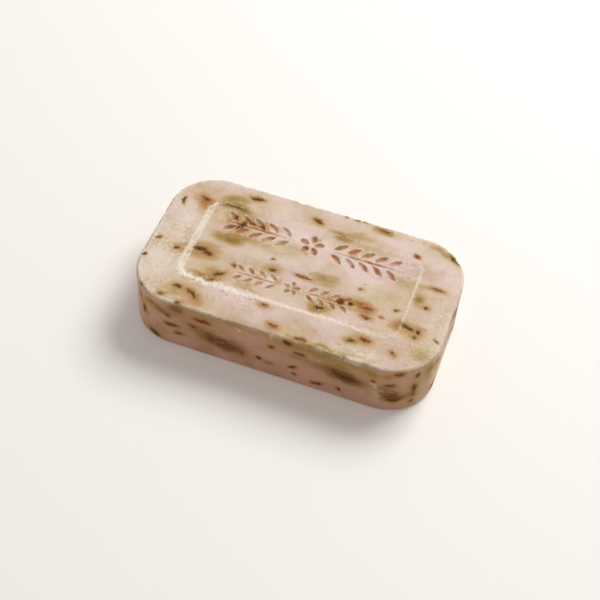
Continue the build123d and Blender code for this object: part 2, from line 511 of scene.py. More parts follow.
class SoapStageSettings(bpy.types.PropertyGroup):
    """Camera and light."""

    azimuth: angle_value("Azimuth", "Camera's turn to the right", 16.0)
    elevation: angle_value("Elevation", "Camera's angle above the floor", 51.0)
    roll: angle_value("Roll", "Camera's turn about its own axis", 4.7)
    distance: length_value("Distance", "From the camera to the point that it looks at", 421.6)
    aim_x: length_value("Aim along", "Place along the bar that the camera looks at", -0.9)
    aim_y: length_value("Aim across", "Place across the bar that the camera looks at", 4.6)
    lens: bpy.props.FloatProperty(name="Lens", description="Focal length", default=76.0, unit="CAMERA")
    key_power: bpy.props.FloatProperty(
        name="Key power", description="Power of the main lamp", default=10.8, unit="POWER"
    )
    fill_power: bpy.props.FloatProperty(
        name="Fill power", description="Power of the fill lamp", default=1.0, unit="POWER"
    )
    world_strength: bpy.props.FloatProperty(
        name="World strength", description="Strength of the room's light", default=0.32
    )


def in_millimetres(group, *names):
    """The named lengths of a property group, in millimetres."""
    return [getattr(group, name) / MM for name in names]


class BarForm:
    """The bar's form in millimetres: its box from the frame, and what follows from its sizes."""

    def __init__(self, sizes):
        low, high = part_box(NODE)
        self.half_length = (high.x - low.x) / 2 / MM
        self.half_width = (high.y - low.y) / 2 / MM
        self.height = (high.z - low.z) / MM
        self.corner, self.top_edge, self.bottom_edge = in_millimetres(
            sizes, "corner_radius", "top_edge_radius", "bottom_edge_radius"
        )
        self.straight_x = self.half_length - self.corner
        self.straight_y = self.half_width - self.corner
        self.outline_length = 4 * (self.straight_x + self.straight_y) + 2 * math.pi * self.corner

    def outline(self, run):
        """The point, tangent and outward normal of the outline, a run along it from the front's middle."""
        quarter = math.pi / 2 * self.corner
        along, across = 2 * self.straight_x, 2 * self.straight_y
        sides = (self.straight_x, across, along, across, self.straight_x)
        corners = ((1, -1), (1, 1), (-1, 1), (-1, -1))
        rest = run % self.outline_length
        start = Vector((0, -self.half_width, 0))
        for turn, side in enumerate(sides):
            heading = Matrix.Rotation(turn * math.pi / 2, 3, "Z")
            tangent = heading @ Vector((1, 0, 0))
            outward = heading @ Vector((0, -1, 0))
            if rest <= side or turn == len(corners):
                return start + tangent * rest, tangent, outward
            rest -= side
            centre = Vector((corners[turn][0] * self.straight_x, corners[turn][1] * self.straight_y, 0))
            if rest <= quarter:
                swing = Matrix.Rotation(rest / self.corner, 3, "Z")
                return centre + swing @ outward * self.corner, swing @ tangent, swing @ outward
            rest -= quarter
            start = centre + tangent * self.corner

    def top_spot(self, x, y, length, width, turn, strength=1.0):
        """A spot on the upper face."""
        swing = Matrix.Rotation(math.radians(turn), 3, "Z")
        along, across = swing @ Vector((1, 0, 0)), swing @ Vector((0, 1, 0))
        centre = Vector((x, y, self.height))
        return Spot(centre, along, across, UP, length / 2, width / 2, strength)

    def under_spot(self, x, y, length, width, turn, strength=1.0):
        """A spot on the underside."""
        spot = self.top_spot(x, y, length, width, turn, strength)
        return spot._replace(centre=Vector((x, y, 0)), across=-spot.across, outward=-UP)

    def side_spot(self, run, height, length, width, turn, strength=1.0):
        """A spot on the sides."""
        point, tangent, outward = self.outline(run)
        swing = Matrix.Rotation(math.radians(-turn), 3, outward)
        centre = Vector((point.x, point.y, height))
        return Spot(centre, swing @ tangent, swing @ UP, outward, length / 2, width / 2, strength)


SEED_STEP = (17.3, 5.1, 9.7)  # how far the chance of one seed lies from that of the next


def wander(points, size, seed):
    """Smooth chance from -1 to 1 at each point, in lumps of about the given size."""
    shift = Vector([seed * step for step in SEED_STEP])
    return np.array([noise.noise(Vector(point) / size + shift) for point in points])


def lumps(points, size, seeds):
    """One column of smooth chance for each seed."""
    return np.column_stack([wander(points, size, seed) for seed in seeds])


def eased(share):
    """A share clipped to 0..1 that starts and ends softly."""
    share = np.clip(share, 0, 1)
    return share * share * (3 - 2 * share)


def near(distance, end, fade):
    """1 until a fade before the end, and 0 from the end on."""
    return np.clip((end - distance) / fade, 0, 1)


def bell(distance, spread):
    """1 at no distance, falling off softly on both sides."""
    return np.exp(-(distance / spread) ** 2)


def joined(*shares):
    """What several shares cover together, where each covers its part of what the others leave."""
    clear = 1
    for share in shares:
        clear = clear * (1 - share)
    return 1 - clear


def graded_line(stops, pitches):
    """Places from the first stop to the last, about a pitch apart in each stretch and even in number."""
    runs = []
    for low, high, pitch in zip(stops, stops[1:], pitches):
        runs.append(np.linspace(low, high, 2 * round((high - low) / pitch / 2), endpoint=False))
    return np.append(np.concatenate(runs), stops[-1])


def rounded_grid(lines_x, lines_y, half_x, half_y, corner):
    """A grid on these lines whose corner squares are drawn in to quarter discs."""
    x, y = np.meshgrid(lines_x, lines_y)
    into_x = np.maximum(np.abs(x) - (half_x - corner), 0) / corner
    into_y = np.maximum(np.abs(y) - (half_y - corner), 0) / corner
    drawn_x = corner * into_x * (1 - np.sqrt(1 - into_y ** 2 / 2))
    drawn_y = corner * into_y * (1 - np.sqrt(1 - into_x ** 2 / 2))
    return x - np.sign(x) * drawn_x, y - np.sign(y) * drawn_y


def border_loop(index):
    """The indices round a grid, anticlockwise from its front left corner."""
    return np.concatenate((index[0, :-1], index[:-1, -1], index[-1, :0:-1], index[:0:-1, 0]))


def grid_faces(index, upwards):
    """The quads of a grid of indices, facing up or down."""
    front, back = index[:-1], index[1:]
    second, last = front[:, 1:], back[:, :-1]
    if not upwards:
        second, last = last, second
    return np.stack((front[:, :-1], second, back[:, 1:], last), -1).reshape(-1, 4).tolist()


def rounded_distance(x, y, half_x, half_y, radius):
    """Distance from the outline of a rounded rectangle about the origin, below 0 inside it."""
    over_x = np.abs(x) - half_x + radius
    over_y = np.abs(y) - half_y + radius
    outside = np.hypot(np.maximum(over_x, 0), np.maximum(over_y, 0))
    return outside + np.minimum(np.maximum(over_x, over_y), 0) - radius


# The skin's mesh: how far its grids stay inside the outline, the pitch of the upper grid's lines from left
# to right and from front to back, and the steps of the rings between the grids
TOP_RIM = 2.2
UNDER_RIM = 2.4
UNDER_GRID_RIM = 4.0
PITCHES_X = (0.45, 0.33, 0.45)
PITCHES_Y = (0.42, 0.33, 0.36)
RIM_STEPS = 4
TOP_EDGE_STEPS = 5
WALL_STEPS = 36
BOTTOM_EDGE_STEPS = 3


def side_profile(form):
    """Insets, heights and tilts of the rings from the rim of the upper face to the rim of the underside."""
    rings = [(inset, form.height, 90) for inset in np.linspace(TOP_RIM, form.top_edge, RIM_STEPS + 1)[1:]]
    for tilt in np.linspace(90, 0, TOP_EDGE_STEPS + 1)[1:]:
        lean = math.radians(tilt)
        height = form.height - form.top_edge * (1 - math.sin(lean))
        rings.append((form.top_edge * (1 - math.cos(lean)), height, tilt))
    for height in np.linspace(form.height - form.top_edge, form.bottom_edge, WALL_STEPS + 1)[1:]:
        rings.append((0, height, 0))
    for tilt in np.linspace(0, -90, BOTTOM_EDGE_STEPS + 1)[1:]:
        lean = math.radians(tilt)
        height = form.bottom_edge * (1 + math.sin(lean))
        rings.append((form.bottom_edge * (1 - math.cos(lean)), height, tilt))
    return rings + [(UNDER_RIM, 0, -90)]


def plain_skin(form):
    """Points, outward normals and faces of the bar before wear: a fine grid on top, rings down the sides
    and a grid of half as many lines below."""
    half_x, half_y, corner = form.half_length - TOP_RIM, form.half_width - TOP_RIM, form.corner - TOP_RIM
    lines_x = graded_line((-half_x, -form.straight_x, form.straight_x, half_x), PITCHES_X)
    lines_y = graded_line((-half_y, -form.straight_y, form.straight_y, half_y), PITCHES_Y)
    x, y = rounded_grid(lines_x, lines_y, half_x, half_y, corner)
    index = np.arange(x.size).reshape(x.shape)
    points = [np.column_stack((x.ravel(), y.ravel(), np.full(x.size, form.height)))]
    normals = [np.tile((0.0, 0.0, 1.0), (x.size, 1))]
    faces = grid_faces(index, upwards=True)

    # The rings, each a step outwards or down from the one before
    loop = border_loop(index)
    rim = points[0][loop, :2]
    straight = np.array((form.straight_x, form.straight_y))
    core = np.clip(rim, -straight, straight)
    outward = (rim - core) / np.linalg.norm(rim - core, axis=1, keepdims=True)
    used = x.size
    for inset, height, tilt in side_profile(form):
        lean = math.radians(tilt)
        ring = np.arange(used, used + len(loop))
        points.append(np.column_stack((rim + outward * (TOP_RIM - inset), np.full(len(loop), height))))
        normals.append(np.column_stack((outward * math.cos(lean), np.full(len(loop), math.sin(lean)))))
        faces.extend(np.column_stack((loop, ring, np.roll(ring, -1), np.roll(loop, -1))).tolist())
        loop = ring
        used += len(ring)

    # The lower grid, joined to the last ring by triangles
    under_x, under_y = form.half_length - UNDER_GRID_RIM, form.half_width - UNDER_GRID_RIM
    lines_x = lines_x[::2] * under_x / half_x
    lines_y = lines_y[::2] * under_y / half_y
    x, y = rounded_grid(lines_x, lines_y, under_x, under_y, form.corner - UNDER_GRID_RIM)
    index = used + np.arange(x.size).reshape(x.shape)
    points.append(np.column_stack((x.ravel(), y.ravel(), np.zeros(x.size))))
    normals.append(np.tile((0.0, 0.0, -1.0), (x.size, 1)))
    faces.extend(grid_faces(index, upwards=False))
    inner = border_loop(index)
    for first, middle, last, left, right in zip(
        loop[0::2], loop[1::2], np.roll(loop, -2)[0::2], inner, np.roll(inner, -1)
    ):
        faces.extend(((first, left, middle), (middle, left, right), (middle, right, last)))
    return np.concatenate(points), np.concatenate(normals), faces


# Spots: how softly stains end, and how far stains, petals and pits reach in and out of the surface at least
STAIN_SPREAD = 0.85
STAIN_DEPTH = 3.0
PETAL_DEPTH = 1.2
PIT_DEPTH = 1.0
PIT_STEEPNESS = 1.4  # above 1, which leaves a pit a flat bottom
LEAST_SLOPE = 1e-9  # stands in for no slope at all in a spot's very middle


def closeness(points, spot, depth):
    """How near each point is to the middle of a spot: 1 there, 0 on its rim and below 0 outside it. The spot
    reaches in and out of the surface by its half width, or by the given depth if that is more."""
    offset = points - np.array(spot.centre)
    along = offset @ np.array(spot.along) / spot.half_length
    across = offset @ np.array(spot.across) / spot.half_width
    outward = offset @ np.array(spot.outward) / max(spot.half_width, depth)
    return 1 - np.sqrt(along ** 2 + across ** 2 + outward ** 2)


def stained(points, spots):
    """Strength from 0 to 1 that overlapping soft spots give at each point."""
    clear = np.ones(len(points))
    for spot in spots:
        clear *= 1 - spot.strength * bell(1 - closeness(points, spot, STAIN_DEPTH), STAIN_SPREAD)
    return 1 - clear


def petal_inset(points, spot):
    """About how many millimetres each point lies inside an elliptic spot's rim, below 0 outside it."""
    offset = points - np.array(spot.centre)
    axes = np.array((spot.along, spot.across, spot.outward))
    radii = np.array((spot.half_length, spot.half_width, max(spot.half_width, PETAL_DEPTH)))
    share = offset @ axes.T / radii
    reach = np.linalg.norm(share, axis=1)
    slope = np.linalg.norm(share / radii, axis=1) + LEAST_SLOPE
    return np.minimum(reach * (1 - reach) / slope, spot.half_width)


def row_marks(row, sizes):
    """The marks in one row of the border, about the row's own middle."""
    radius, leaf, leaf_width, pitch, stem_width = in_millimetres(
        row, "blossom_radius", "leaf_length", "leaf_width", "leaf_pitch", "stem_width"
    )
    gap = sizes.mark_gap / MM
    lean = sizes.leaf_angle
    petal = radius * (1 - sizes.eye_share)
    middle = radius * (1 + sizes.eye_share) / 2
    stem = row.leaf_pairs * pitch + leaf * math.cos(lean)
    stem_start = radius + gap
    rise = stem_width / 2 + gap + leaf / 2 * math.sin(lean)
    marks = []
    for turn in range(sizes.petal_count):
        angle = math.pi / 2 + math.tau * turn / sizes.petal_count
        place = (middle * math.cos(angle), middle * math.sin(angle))
        marks.append(Mark(*place, angle, petal, petal * sizes.petal_width_share))
    for hand in (1, -1):
        marks.append(Mark(hand * (stem_start + stem / 2), 0, 0, stem, stem_width))
        for pair in range(row.leaf_pairs):
            reach = stem_start + pitch / 2 + pair * pitch + leaf / 2 * math.cos(lean)
            for side in (1, -1):
                marks.append(Mark(hand * reach, side * rise, hand * side * lean, leaf, leaf_width))
    return marks


def mark_distance(x, y, mark):
    """Distance from the eye-shaped outline of a mark, below 0 inside it."""
    along = (x - mark.x) * math.cos(mark.turn) + (y - mark.y) * math.sin(mark.turn)
    across = (y - mark.y) * math.cos(mark.turn) - (x - mark.x) * math.sin(mark.turn)
    half_length = mark.length / 2
    radius = (mark.length ** 2 + mark.width ** 2) / (4 * mark.width)
    back = radius - mark.width / 2
    past_tip = (np.abs(along) - half_length) * back > np.abs(across) * half_length
    from_tip = np.hypot(np.abs(along) - half_length, across)
    return np.where(past_tip, from_tip, np.hypot(along, np.abs(across) + back) - radius)


# Spots by kind: the tables that give them on the upper face and on the sides
SPOT_TABLES = {
    "cream": (TOP_CREAM, ()),
    "deep": (TOP_DEEP, ()),
    "sand": (TOP_SAND, SIDE_SAND),
    "olive": (TOP_STAINS, SIDE_STAINS),
    "rust": (TOP_RUST, SIDE_RUST),
    "smear": ((), SIDE_SMEARS),
    "pale": (TOP_PALE, SIDE_PALE),
    "pit": (TOP_PITS, EDGE_CHIPS),
}

# Petals by chance: whether they lie on the underside or on the sides, and how many there are
CHANCE_PETALS = (
    (False, 46),
    (True, 34),
)

# Stains by chance: kind, whether they lie on the underside, how many, and the ranges of length and width
CHANCE_STAINS = (
    ("smear", False, 16, (5, 13), (2, 4.5)),
    ("olive", False, 16, (6, 15), (3, 7)),
    ("olive", True, 16, (6, 15), (3, 7)),
    ("rust", False, 14, (4, 9), (3, 6)),
)

# Where chance places them and how large a petal is
SIDE_START = 52.0  # run along the outline from the front's middle to both sides
SIDE_HEIGHTS = (2, 19)
SIDE_TURN = 9  # spread about level, in degrees
SIDE_STRENGTHS = (0.3, 0.8)
UNDER_REACH_X = 0.92  # share of the bar's half length
UNDER_REACH_Y = 0.9  # share of its half width
UNDER_TURN = 12
UNDER_STRENGTHS = (0.3, 0.7)
PETAL_LENGTHS = (1.2, 1.6, 5)  # the least, and the mean and the most that is added to it
PETAL_WIDTHS = (0.6, 0.3, 1.7)  # the least, the share of the length that is added at most, and the most
PETAL_HALOS = (0.5, 1.8)

# Halos: how far they spread for each millimetre of their reach, and how strong they are
HALO_ALONG = 1.8
HALO_ACROSS = 1.3
HALO_STRENGTH = 0.72
HALO_RUST = 0.4  # rusty share round a petal with no red, which is full round the reddest
HALO_OLIVE = 0.8  # olive share round a petal with no red, which is none round the reddest


class SoapFeatures:
    """All that lies in the soap or is broken off it: petals, stains, rubbed patches, pits and chips, with one
    petal and a few stains that are painted shade at the recess's walls.
    """

    def __init__(self, form, seed):
        self.form = form
        self.chance = np.random.default_rng(seed)
        self.petals = [Petal(form.top_spot(*row[:5]), *row[5:]) for row in TOP_PETALS]
        self.petals += [Petal(form.side_spot(*row[:5]), *row[5:]) for row in SIDE_PETALS]
        self.spots = {}
        for kind, (top, side) in SPOT_TABLES.items():
            self.spots[kind] = [form.top_spot(*row) for row in top] + [form.side_spot(*row) for row in side]
        for under, count in CHANCE_PETALS:
            self.petals += [self.chance_petal(under) for _ in range(count)]
        for kind, under, count, lengths, widths in CHANCE_STAINS:
            for _ in range(count):
                length = self.chance.uniform(*lengths)
                width = self.chance.uniform(*widths)
                self.spots[kind].append(self.chance_spot(under, length, width))

    def chance_spot(self, under, length, width):
        """A spot of this size at a place by chance, on the underside or on the sides."""
        chance = self.chance
        if under:
            x = chance.uniform(-UNDER_REACH_X, UNDER_REACH_X) * self.form.half_length
            y = chance.uniform(-UNDER_REACH_Y, UNDER_REACH_Y) * self.form.half_width
            turn = chance.normal(0, UNDER_TURN)
            return self.form.under_spot(x, y, length, width, turn, chance.uniform(*UNDER_STRENGTHS))
        run = chance.uniform(SIDE_START, self.form.outline_length - SIDE_START)
        height = chance.uniform(*SIDE_HEIGHTS)
        turn = chance.normal(0, SIDE_TURN)
        return self.form.side_spot(run, height, length, width, turn, chance.uniform(*SIDE_STRENGTHS))

    def chance_petal(self, under):
        """A petal of a size and at a place by chance. Most are small, and a few are long."""
        least, mean, most = PETAL_LENGTHS
        length = least + min(self.chance.exponential(mean), most)
        least, share, most = PETAL_WIDTHS
        width = min(least + share * length * self.chance.random(), most)
        spot = self.chance_spot(under, length, width)
        return Petal(spot, self.chance.uniform(*PETAL_HALOS), self.chance.random())

    def halos(self, rusty):
        """What the petals have bled close round them: the rusty share of it, or the olive rest."""
        for spot, reach, redness in self.petals:
            share = HALO_RUST + (1 - HALO_RUST) * redness if rusty else HALO_OLIVE * (1 - redness)
            yield spot._replace(
                half_length=spot.half_length + HALO_ALONG * reach,
                half_width=spot.half_width + HALO_ACROSS * reach,
                strength=HALO_STRENGTH * share,
            )


# Lumps of chance: their sizes, and how far they push the rims of petals, stains and pits
COARSE_SIZE = 3.2
COARSE_PUSH = 0.55
GRAIN_SIZE = 0.9
GRAIN_PUSH = 0.22
SWAY_SIZE = 7.0
SWAY_PUSH = 1.3
BROAD_SIZE = 8.0

# Zones of wear: where each one ends, and the distance over which it comes in before that
FRONT_ZONE = (3.5, 1.5)  # from the panel's front inwards
LEFT_ZONE = (2.6, 0.8)  # from the panel's left end inwards
RIGHT_ZONE = (2.5, 1.5)  # from the panel's right end inwards
LEFT_END_ZONE = (-36.0, 8.0)  # along the bar, to its left end
SOFT_ZONE_X = (12.8, 8.0)  # to both sides of the middle of the edge's rubbed stretch
SOFT_ZONE_Y = (-14.0, 10.0)  # across the bar, to its front
STAMP_ZONE = (0.175, 0.35)  # from a mark's outline outwards
WALL_ZONE = (0.62, 0.125)  # from halfway down the panel's wall, as shares of its run

# The panel's wear: what is left of its depth, its broken front lip, and the pale lines of its mouth and foot
PANEL_KEPT = 0.66  # share of the depth that is left in the panel's middle
PANEL_FALL_X = 0.3  # share that is lost from there to its right end
PANEL_FALL_Y = 0.4  # share that is lost from there to its back
WALL_STRAIGHT = 0.6  # share of the wall's slope that is straight, the rest being eased
BREAK_MIDDLE = -0.3  # how far the front lip is broken in its middle, which is never less than the least
BREAK_RISE = 2.5  # how much more that is at its left end
BREAK_LEAST = 0.25
BREAK_COARSE = 1.2  # how far chance pushes the mouth where it is broken
BREAK_GRAIN = 0.7
MOUTH_COARSE = 0.12  # how far chance pushes it everywhere
MOUTH_GRAIN = 0.1
LIP_PLACE = 0.9
LIP_REACH = 2.7
LIP_GRAIN = 0.6  # how far chance changes the reach
LIP_FADE = 1.2
LINE_PLACE = 0.15
LINE_SPREAD = 0.5
LINE_SPREAD_FRONT = 0.3  # added along the front
FOOT_SPREAD = 0.4
FLAT_IN_X = 3.0  # the rubbed front right corner, from the panel's mouth
FLAT_IN_Y = 2.0
FLAT_SPREAD = 4.0
FLAT_RUB = 0.7  # share of the mouth's line that is lost there

# How pale the panel's wear is: on its left wall, foot and line, on its whole line, and on its broken lip
LEFT_WALL_PALE = 0.45
LEFT_WALL_CHANCE = 0.4
LEFT_FOOT_PALE = 0.35
LEFT_LINE_PALE = 0.3
LINE_PALE = 0.3
LINE_PALE_FRONT = 0.1  # added along the front
LINE_PALE_RIGHT = 0.4  # added at the right end
LIP_PALE = 0.58

# The border's wear: how ragged a mark's outline and bottom are, and the burr that stands round it
MARK_RAGGED = 0.14
MARK_TEAR = 0.3
BURR_PLACE = 0.3
BURR_SPREAD = 0.3
BURR_HEIGHT = 0.09
BURR_MEAN = 0.6  # share of that height before chance changes it

# The upper edge's wear: how far in it is bitten, the flash that stands behind it, and its rubbed stretch
EDGE_SPREAD = 0.8
EDGE_RUB = 0.02
EDGE_GRAIN = 0.06
BITE_COARSE = 0.7
BITE_COARSE_FROM = 0.14  # the chance from which on the edge is bitten
BITE_GRAIN = 0.4
BITE_GRAIN_FROM = 0.15
FLASH_PLACE = 0.9
FLASH_SPREAD = 0.4
FLASH_HEIGHT = 0.06
FLASH_CHANCE = 2  # how far chance changes its height, over the height
SOFT_MIDDLE = -7.5
SOFT_DEPTH = 0.75
SOFT_SPREAD = 1.7

# Heights of the skin's roughness
BROAD_RELIEF = 0.045
COARSE_RELIEF = 0.014
GRAIN_RELIEF = 0.006
SAND_RELIEF = 0.05
LIP_GRAIN_RELIEF = 0.55
LIP_COARSE_RELIEF = 0.25

# Pale wear along the upper edge, in part a painted highlight where the edge catches the light: how far it
# reaches in, and the distance over which it fades
WEAR_REACH = 1.1
WEAR_REACH_LEFT = 0.35  # added at the left end
WEAR_COARSE = 0.8  # how far chance changes the reach
WEAR_BROAD = 0.8
WEAR_GRAIN = 0.6
WEAR_FADE = 0.5
WEAR_DROP = 2.6  # how much faster it ends down the sides, which keeps the painted highlight on the lit upper side
SOFT_CLEAN = 0.8  # share that is missing on the edge's rubbed stretch

# How much the wear shows as cream and as pale soap, along the upper edge, where it is in part a painted
# highlight, and on the burr
EDGE_CREAM = 0.6
EDGE_PALE = 0.5
BURR_PALE = 0.4

# How thickly crumbs lie on the broken lip, the front line of the mouth, the upper edge and the burr
LIP_CRUMBS = 0.45
LINE_CRUMBS = 0.12
EDGE_CRUMBS = 0.1
BURR_CRUMBS = 0.1

NO_PETAL = -2.0  # the depth in a petal that stands for far away from any
FRONT_SHADE_STEEPNESS = 1.2  # above 1, which ends the front's painted shade before the upper face


class WornSkin:
    """The bar's skin after stamping and wear, in millimetres: its points and faces, and the share of each
    stain, finish, painted shade and painted highlight at each point."""

    def __init__(self, form, sizes, rows, features):
        self.plain, self.normals, self.faces = plain_skin(form)
        self.upper = np.clip(self.normals[:, 2], 0, 1)
        x, y, z = self.plain.T
        self.below = form.height - z
        aside = rounded_distance(x, y, form.half_length, form.half_width, form.corner)
        self.edge = np.hypot(aside, self.below)
        self.coarse = lumps(self.plain, COARSE_SIZE, (1, 2, 3))
        self.grain = lumps(self.plain, GRAIN_SIZE, (4, 5, 6))
        self.broad = wander(self.plain, BROAD_SIZE, 7)
        self.drift = self.plain + COARSE_PUSH * self.coarse + GRAIN_PUSH * self.grain
        self.sway = self.drift + SWAY_PUSH * lumps(self.plain, SWAY_SIZE, (8, 9, 10))
        self.sand = stained(self.sway, features.spots["sand"])
        self.press_panel(sizes)
        self.stamp_border(sizes, rows)
        self.wear_down(features.spots["pit"])
        self.find_shares(features)

    def press_panel(self, sizes):
        """Sinks the recess, deepest at the front left where the bar is least worn, and breaks its mouth."""
        length, width, corner, depth, run, shift_x, shift_y = in_millimetres(
            sizes, "panel_length", "panel_width", "panel_corner_radius", "panel_depth", "panel_wall_run",
            "panel_shift_x", "panel_shift_y",
        )
        half_length, half_width = length / 2, width / 2
        x = self.plain[:, 0] - shift_x
        y = self.plain[:, 1] - shift_y
        front = near(half_width + y, *FRONT_ZONE)
        left = near(half_length + x, *LEFT_ZONE)
        right = near(half_length - x, *RIGHT_ZONE)
        broken = front * np.clip(BREAK_MIDDLE - BREAK_RISE * x / half_length, BREAK_LEAST, 1)
        pushed = (MOUTH_COARSE + BREAK_COARSE * broken) * self.coarse[:, 0]
        pushed += (MOUTH_GRAIN + BREAK_GRAIN * broken) * self.grain[:, 0]
        mouth = rounded_distance(x, y, half_length, half_width, corner) + pushed
        slope = near(mouth, 0, run * (1 + np.clip(y / half_width, 0, 1)))
        kept = PANEL_KEPT - PANEL_FALL_X * x / half_length - PANEL_FALL_Y * y / half_width
        self.sunk = depth * kept * (WALL_STRAIGHT * slope + (1 - WALL_STRAIGHT) * eased(slope))
        self.panel_x, self.panel_y = x, y

        # The pale wear of its mouth, which shows most at the left end and on the broken lip
        lip_reach = LIP_REACH + self.coarse[:, 1] + LIP_GRAIN * self.grain[:, 2]
        self.lip = eased(near(np.abs(mouth + LIP_PLACE), lip_reach, LIP_FADE)) * broken * self.upper
        wall = near(np.abs(mouth / run + 0.5), *WALL_ZONE)
        from_corner = np.hypot(half_length - FLAT_IN_X - x, half_width - FLAT_IN_Y + y)
        line = bell(mouth + LINE_PLACE, LINE_SPREAD + LINE_SPREAD_FRONT * front)
        line *= 1 - FLAT_RUB * np.exp(-from_corner / FLAT_SPREAD)
        foot = bell(mouth + run, FOOT_SPREAD)
        left_wear = wall * (LEFT_WALL_PALE + LEFT_WALL_CHANCE * self.coarse[:, 0]) + LEFT_FOOT_PALE * foot
        left_wear += LEFT_LINE_PALE * line
        line_wear = LINE_PALE + LINE_PALE_FRONT * front + LINE_PALE_RIGHT * right
        wear = left * left_wear + line_wear * line + LIP_PALE * self.lip
        self.mouth_wear = self.upper * np.clip(wear, 0, 1)
        self.front_line = line * front

    def stamp_border(self, sizes, rows):
        """Stamps the leaf border into the recess's floor: its depth, its dark bottoms, which are partly
        painted shade, and its burr.
        """
        self.stamped = np.zeros(len(self.plain))
        self.stamp = np.zeros(len(self.plain))
        self.burr = np.zeros(len(self.plain))
        for row in rows:
            for mark in row_marks(row, sizes):
                distance = mark_distance(self.panel_x, self.panel_y - row.place / MM, mark)
                distance += MARK_RAGGED * self.grain[:, 1]
                depth = mark.width * sizes.mark_depth_share
                run = depth * math.tan(sizes.mark_draft)
                self.stamped = np.maximum(self.stamped, depth * near(distance, 0, run))
                self.stamp = np.maximum(self.stamp, near(distance, *STAMP_ZONE))
                self.burr = np.maximum(self.burr, bell(distance - BURR_PLACE, BURR_SPREAD))

    def wear_down(self, pits):
        """Breaks out pits and chips, rubs the upper edge, roughens the soap and so gives the worn points."""
        x, y, _ = self.plain.T
        _, coarse_b, coarse_c = self.coarse.T
        grain_a, grain_b, grain_c = self.grain.T
        dented = np.zeros(len(self.plain))
        for spot in pits:
            dented += spot.strength * eased(PIT_STEEPNESS * closeness(self.drift, spot, PIT_DEPTH))
        self.by_edge = bell(self.edge, EDGE_SPREAD)
        self.softened = eased(near(np.abs(x - SOFT_MIDDLE), *SOFT_ZONE_X)) * eased(near(y, *SOFT_ZONE_Y))
        bitten = BITE_COARSE * np.maximum(coarse_b - BITE_COARSE_FROM, 0)
        bitten += BITE_GRAIN * np.maximum(grain_c - BITE_GRAIN_FROM, 0)
        flash = bell(self.edge - FLASH_PLACE, FLASH_SPREAD) * self.upper
        rubbed = self.by_edge * (EDGE_RUB + bitten - EDGE_GRAIN * grain_a)
        rubbed -= FLASH_HEIGHT * flash * (1 + FLASH_CHANCE * coarse_c)
        rubbed += SOFT_DEPTH * self.softened * bell(self.edge, SOFT_SPREAD)
        rough = BROAD_RELIEF * self.broad + COARSE_RELIEF * coarse_c
        rough += (GRAIN_RELIEF + SAND_RELIEF * self.sand) * grain_a
        rough += self.lip * (LIP_GRAIN_RELIEF * grain_b + LIP_COARSE_RELIEF * coarse_c)
        torn = MARK_TEAR * self.stamped * grain_a - BURR_HEIGHT * self.burr * (BURR_MEAN + grain_c)
        pressed = self.upper * (self.sunk + self.stamped + torn)
        self.points = self.plain + self.normals * (rough - rubbed - dented)[:, None]
        self.points[:, 2] = np.maximum(self.points[:, 2] - pressed, 0)

    def find_shares(self, features):
        """Finds the share of each stain and finish, by the names that the materials and nodes read."""
        spots = features.spots
        rim = np.hypot(self.edge, WEAR_DROP * self.below)
        reach = WEAR_REACH + WEAR_REACH_LEFT * near(self.plain[:, 0], *LEFT_END_ZONE)
        reach += WEAR_COARSE * self.coarse[:, 2] + WEAR_BROAD * self.broad + WEAR_GRAIN * self.grain[:, 1]
        # Rubbed soap along the upper edge, and in part a painted highlight of the lit edge
        edge_wear_and_highlight = (1 - SOFT_CLEAN * self.softened) * eased(near(rim, reach, WEAR_FADE))
        pale = stained(self.drift, spots["pale"])
        crumb = LIP_CRUMBS * self.lip + LINE_CRUMBS * self.front_line + EDGE_CRUMBS * self.by_edge
        crumb += BURR_CRUMBS * self.burr
        petal_depth = np.full(len(self.plain), NO_PETAL)
        petal_red = np.zeros(len(self.plain))
        for petal in features.petals:
            inset = petal_inset(self.drift, petal.spot)
            petal_red = np.where(inset > petal_depth, petal.redness, petal_red)
            petal_depth = np.maximum(petal_depth, inset)
        self.shares = {
            "petal_depth": petal_depth,
            "petal_red": petal_red,
            "rust": joined(stained(self.sway, spots["rust"]), stained(self.drift, features.halos(True))),
            "cream": joined(stained(self.sway, spots["cream"]), EDGE_CREAM * edge_wear_and_highlight),
            "deep": stained(self.sway, spots["deep"]),
            "sand": self.sand,
            "olive": joined(stained(self.sway, spots["olive"]), stained(self.drift, features.halos(False))),
            "smear": stained(self.drift, spots["smear"]),
            "wear": joined(EDGE_PALE * edge_wear_and_highlight, self.mouth_wear, pale, BURR_PALE * self.burr * self.upper),
            # The marks' dark bottoms, partly painted shade
            "stamp": self.stamp * self.upper,
            # Painted shade: a darker, warmer tint on the sides that face the front
            "side": (1 - eased(FRONT_SHADE_STEEPNESS * self.upper)) * np.clip(-self.normals[:, 1], 0, 1),
            "crumb": np.clip(crumb, 0, 1) * self.upper,
        }


def new_object(name, data):
    """An object at the origin with this mesh, lamp or camera, linked to the scene."""
    made = bpy.data.objects.new(name, data)
    bpy.context.scene.collection.objects.link(made)
    return made


def store(mesh, name, values, kind="FLOAT"):
    """Keeps one value for each of the mesh's points under a name that shaders and nodes can read."""
    attribute = mesh.attributes.new(name, kind, "POINT")
    attribute.data.foreach_set("vector" if kind == "FLOAT_VECTOR" else "value", np.ravel(values))


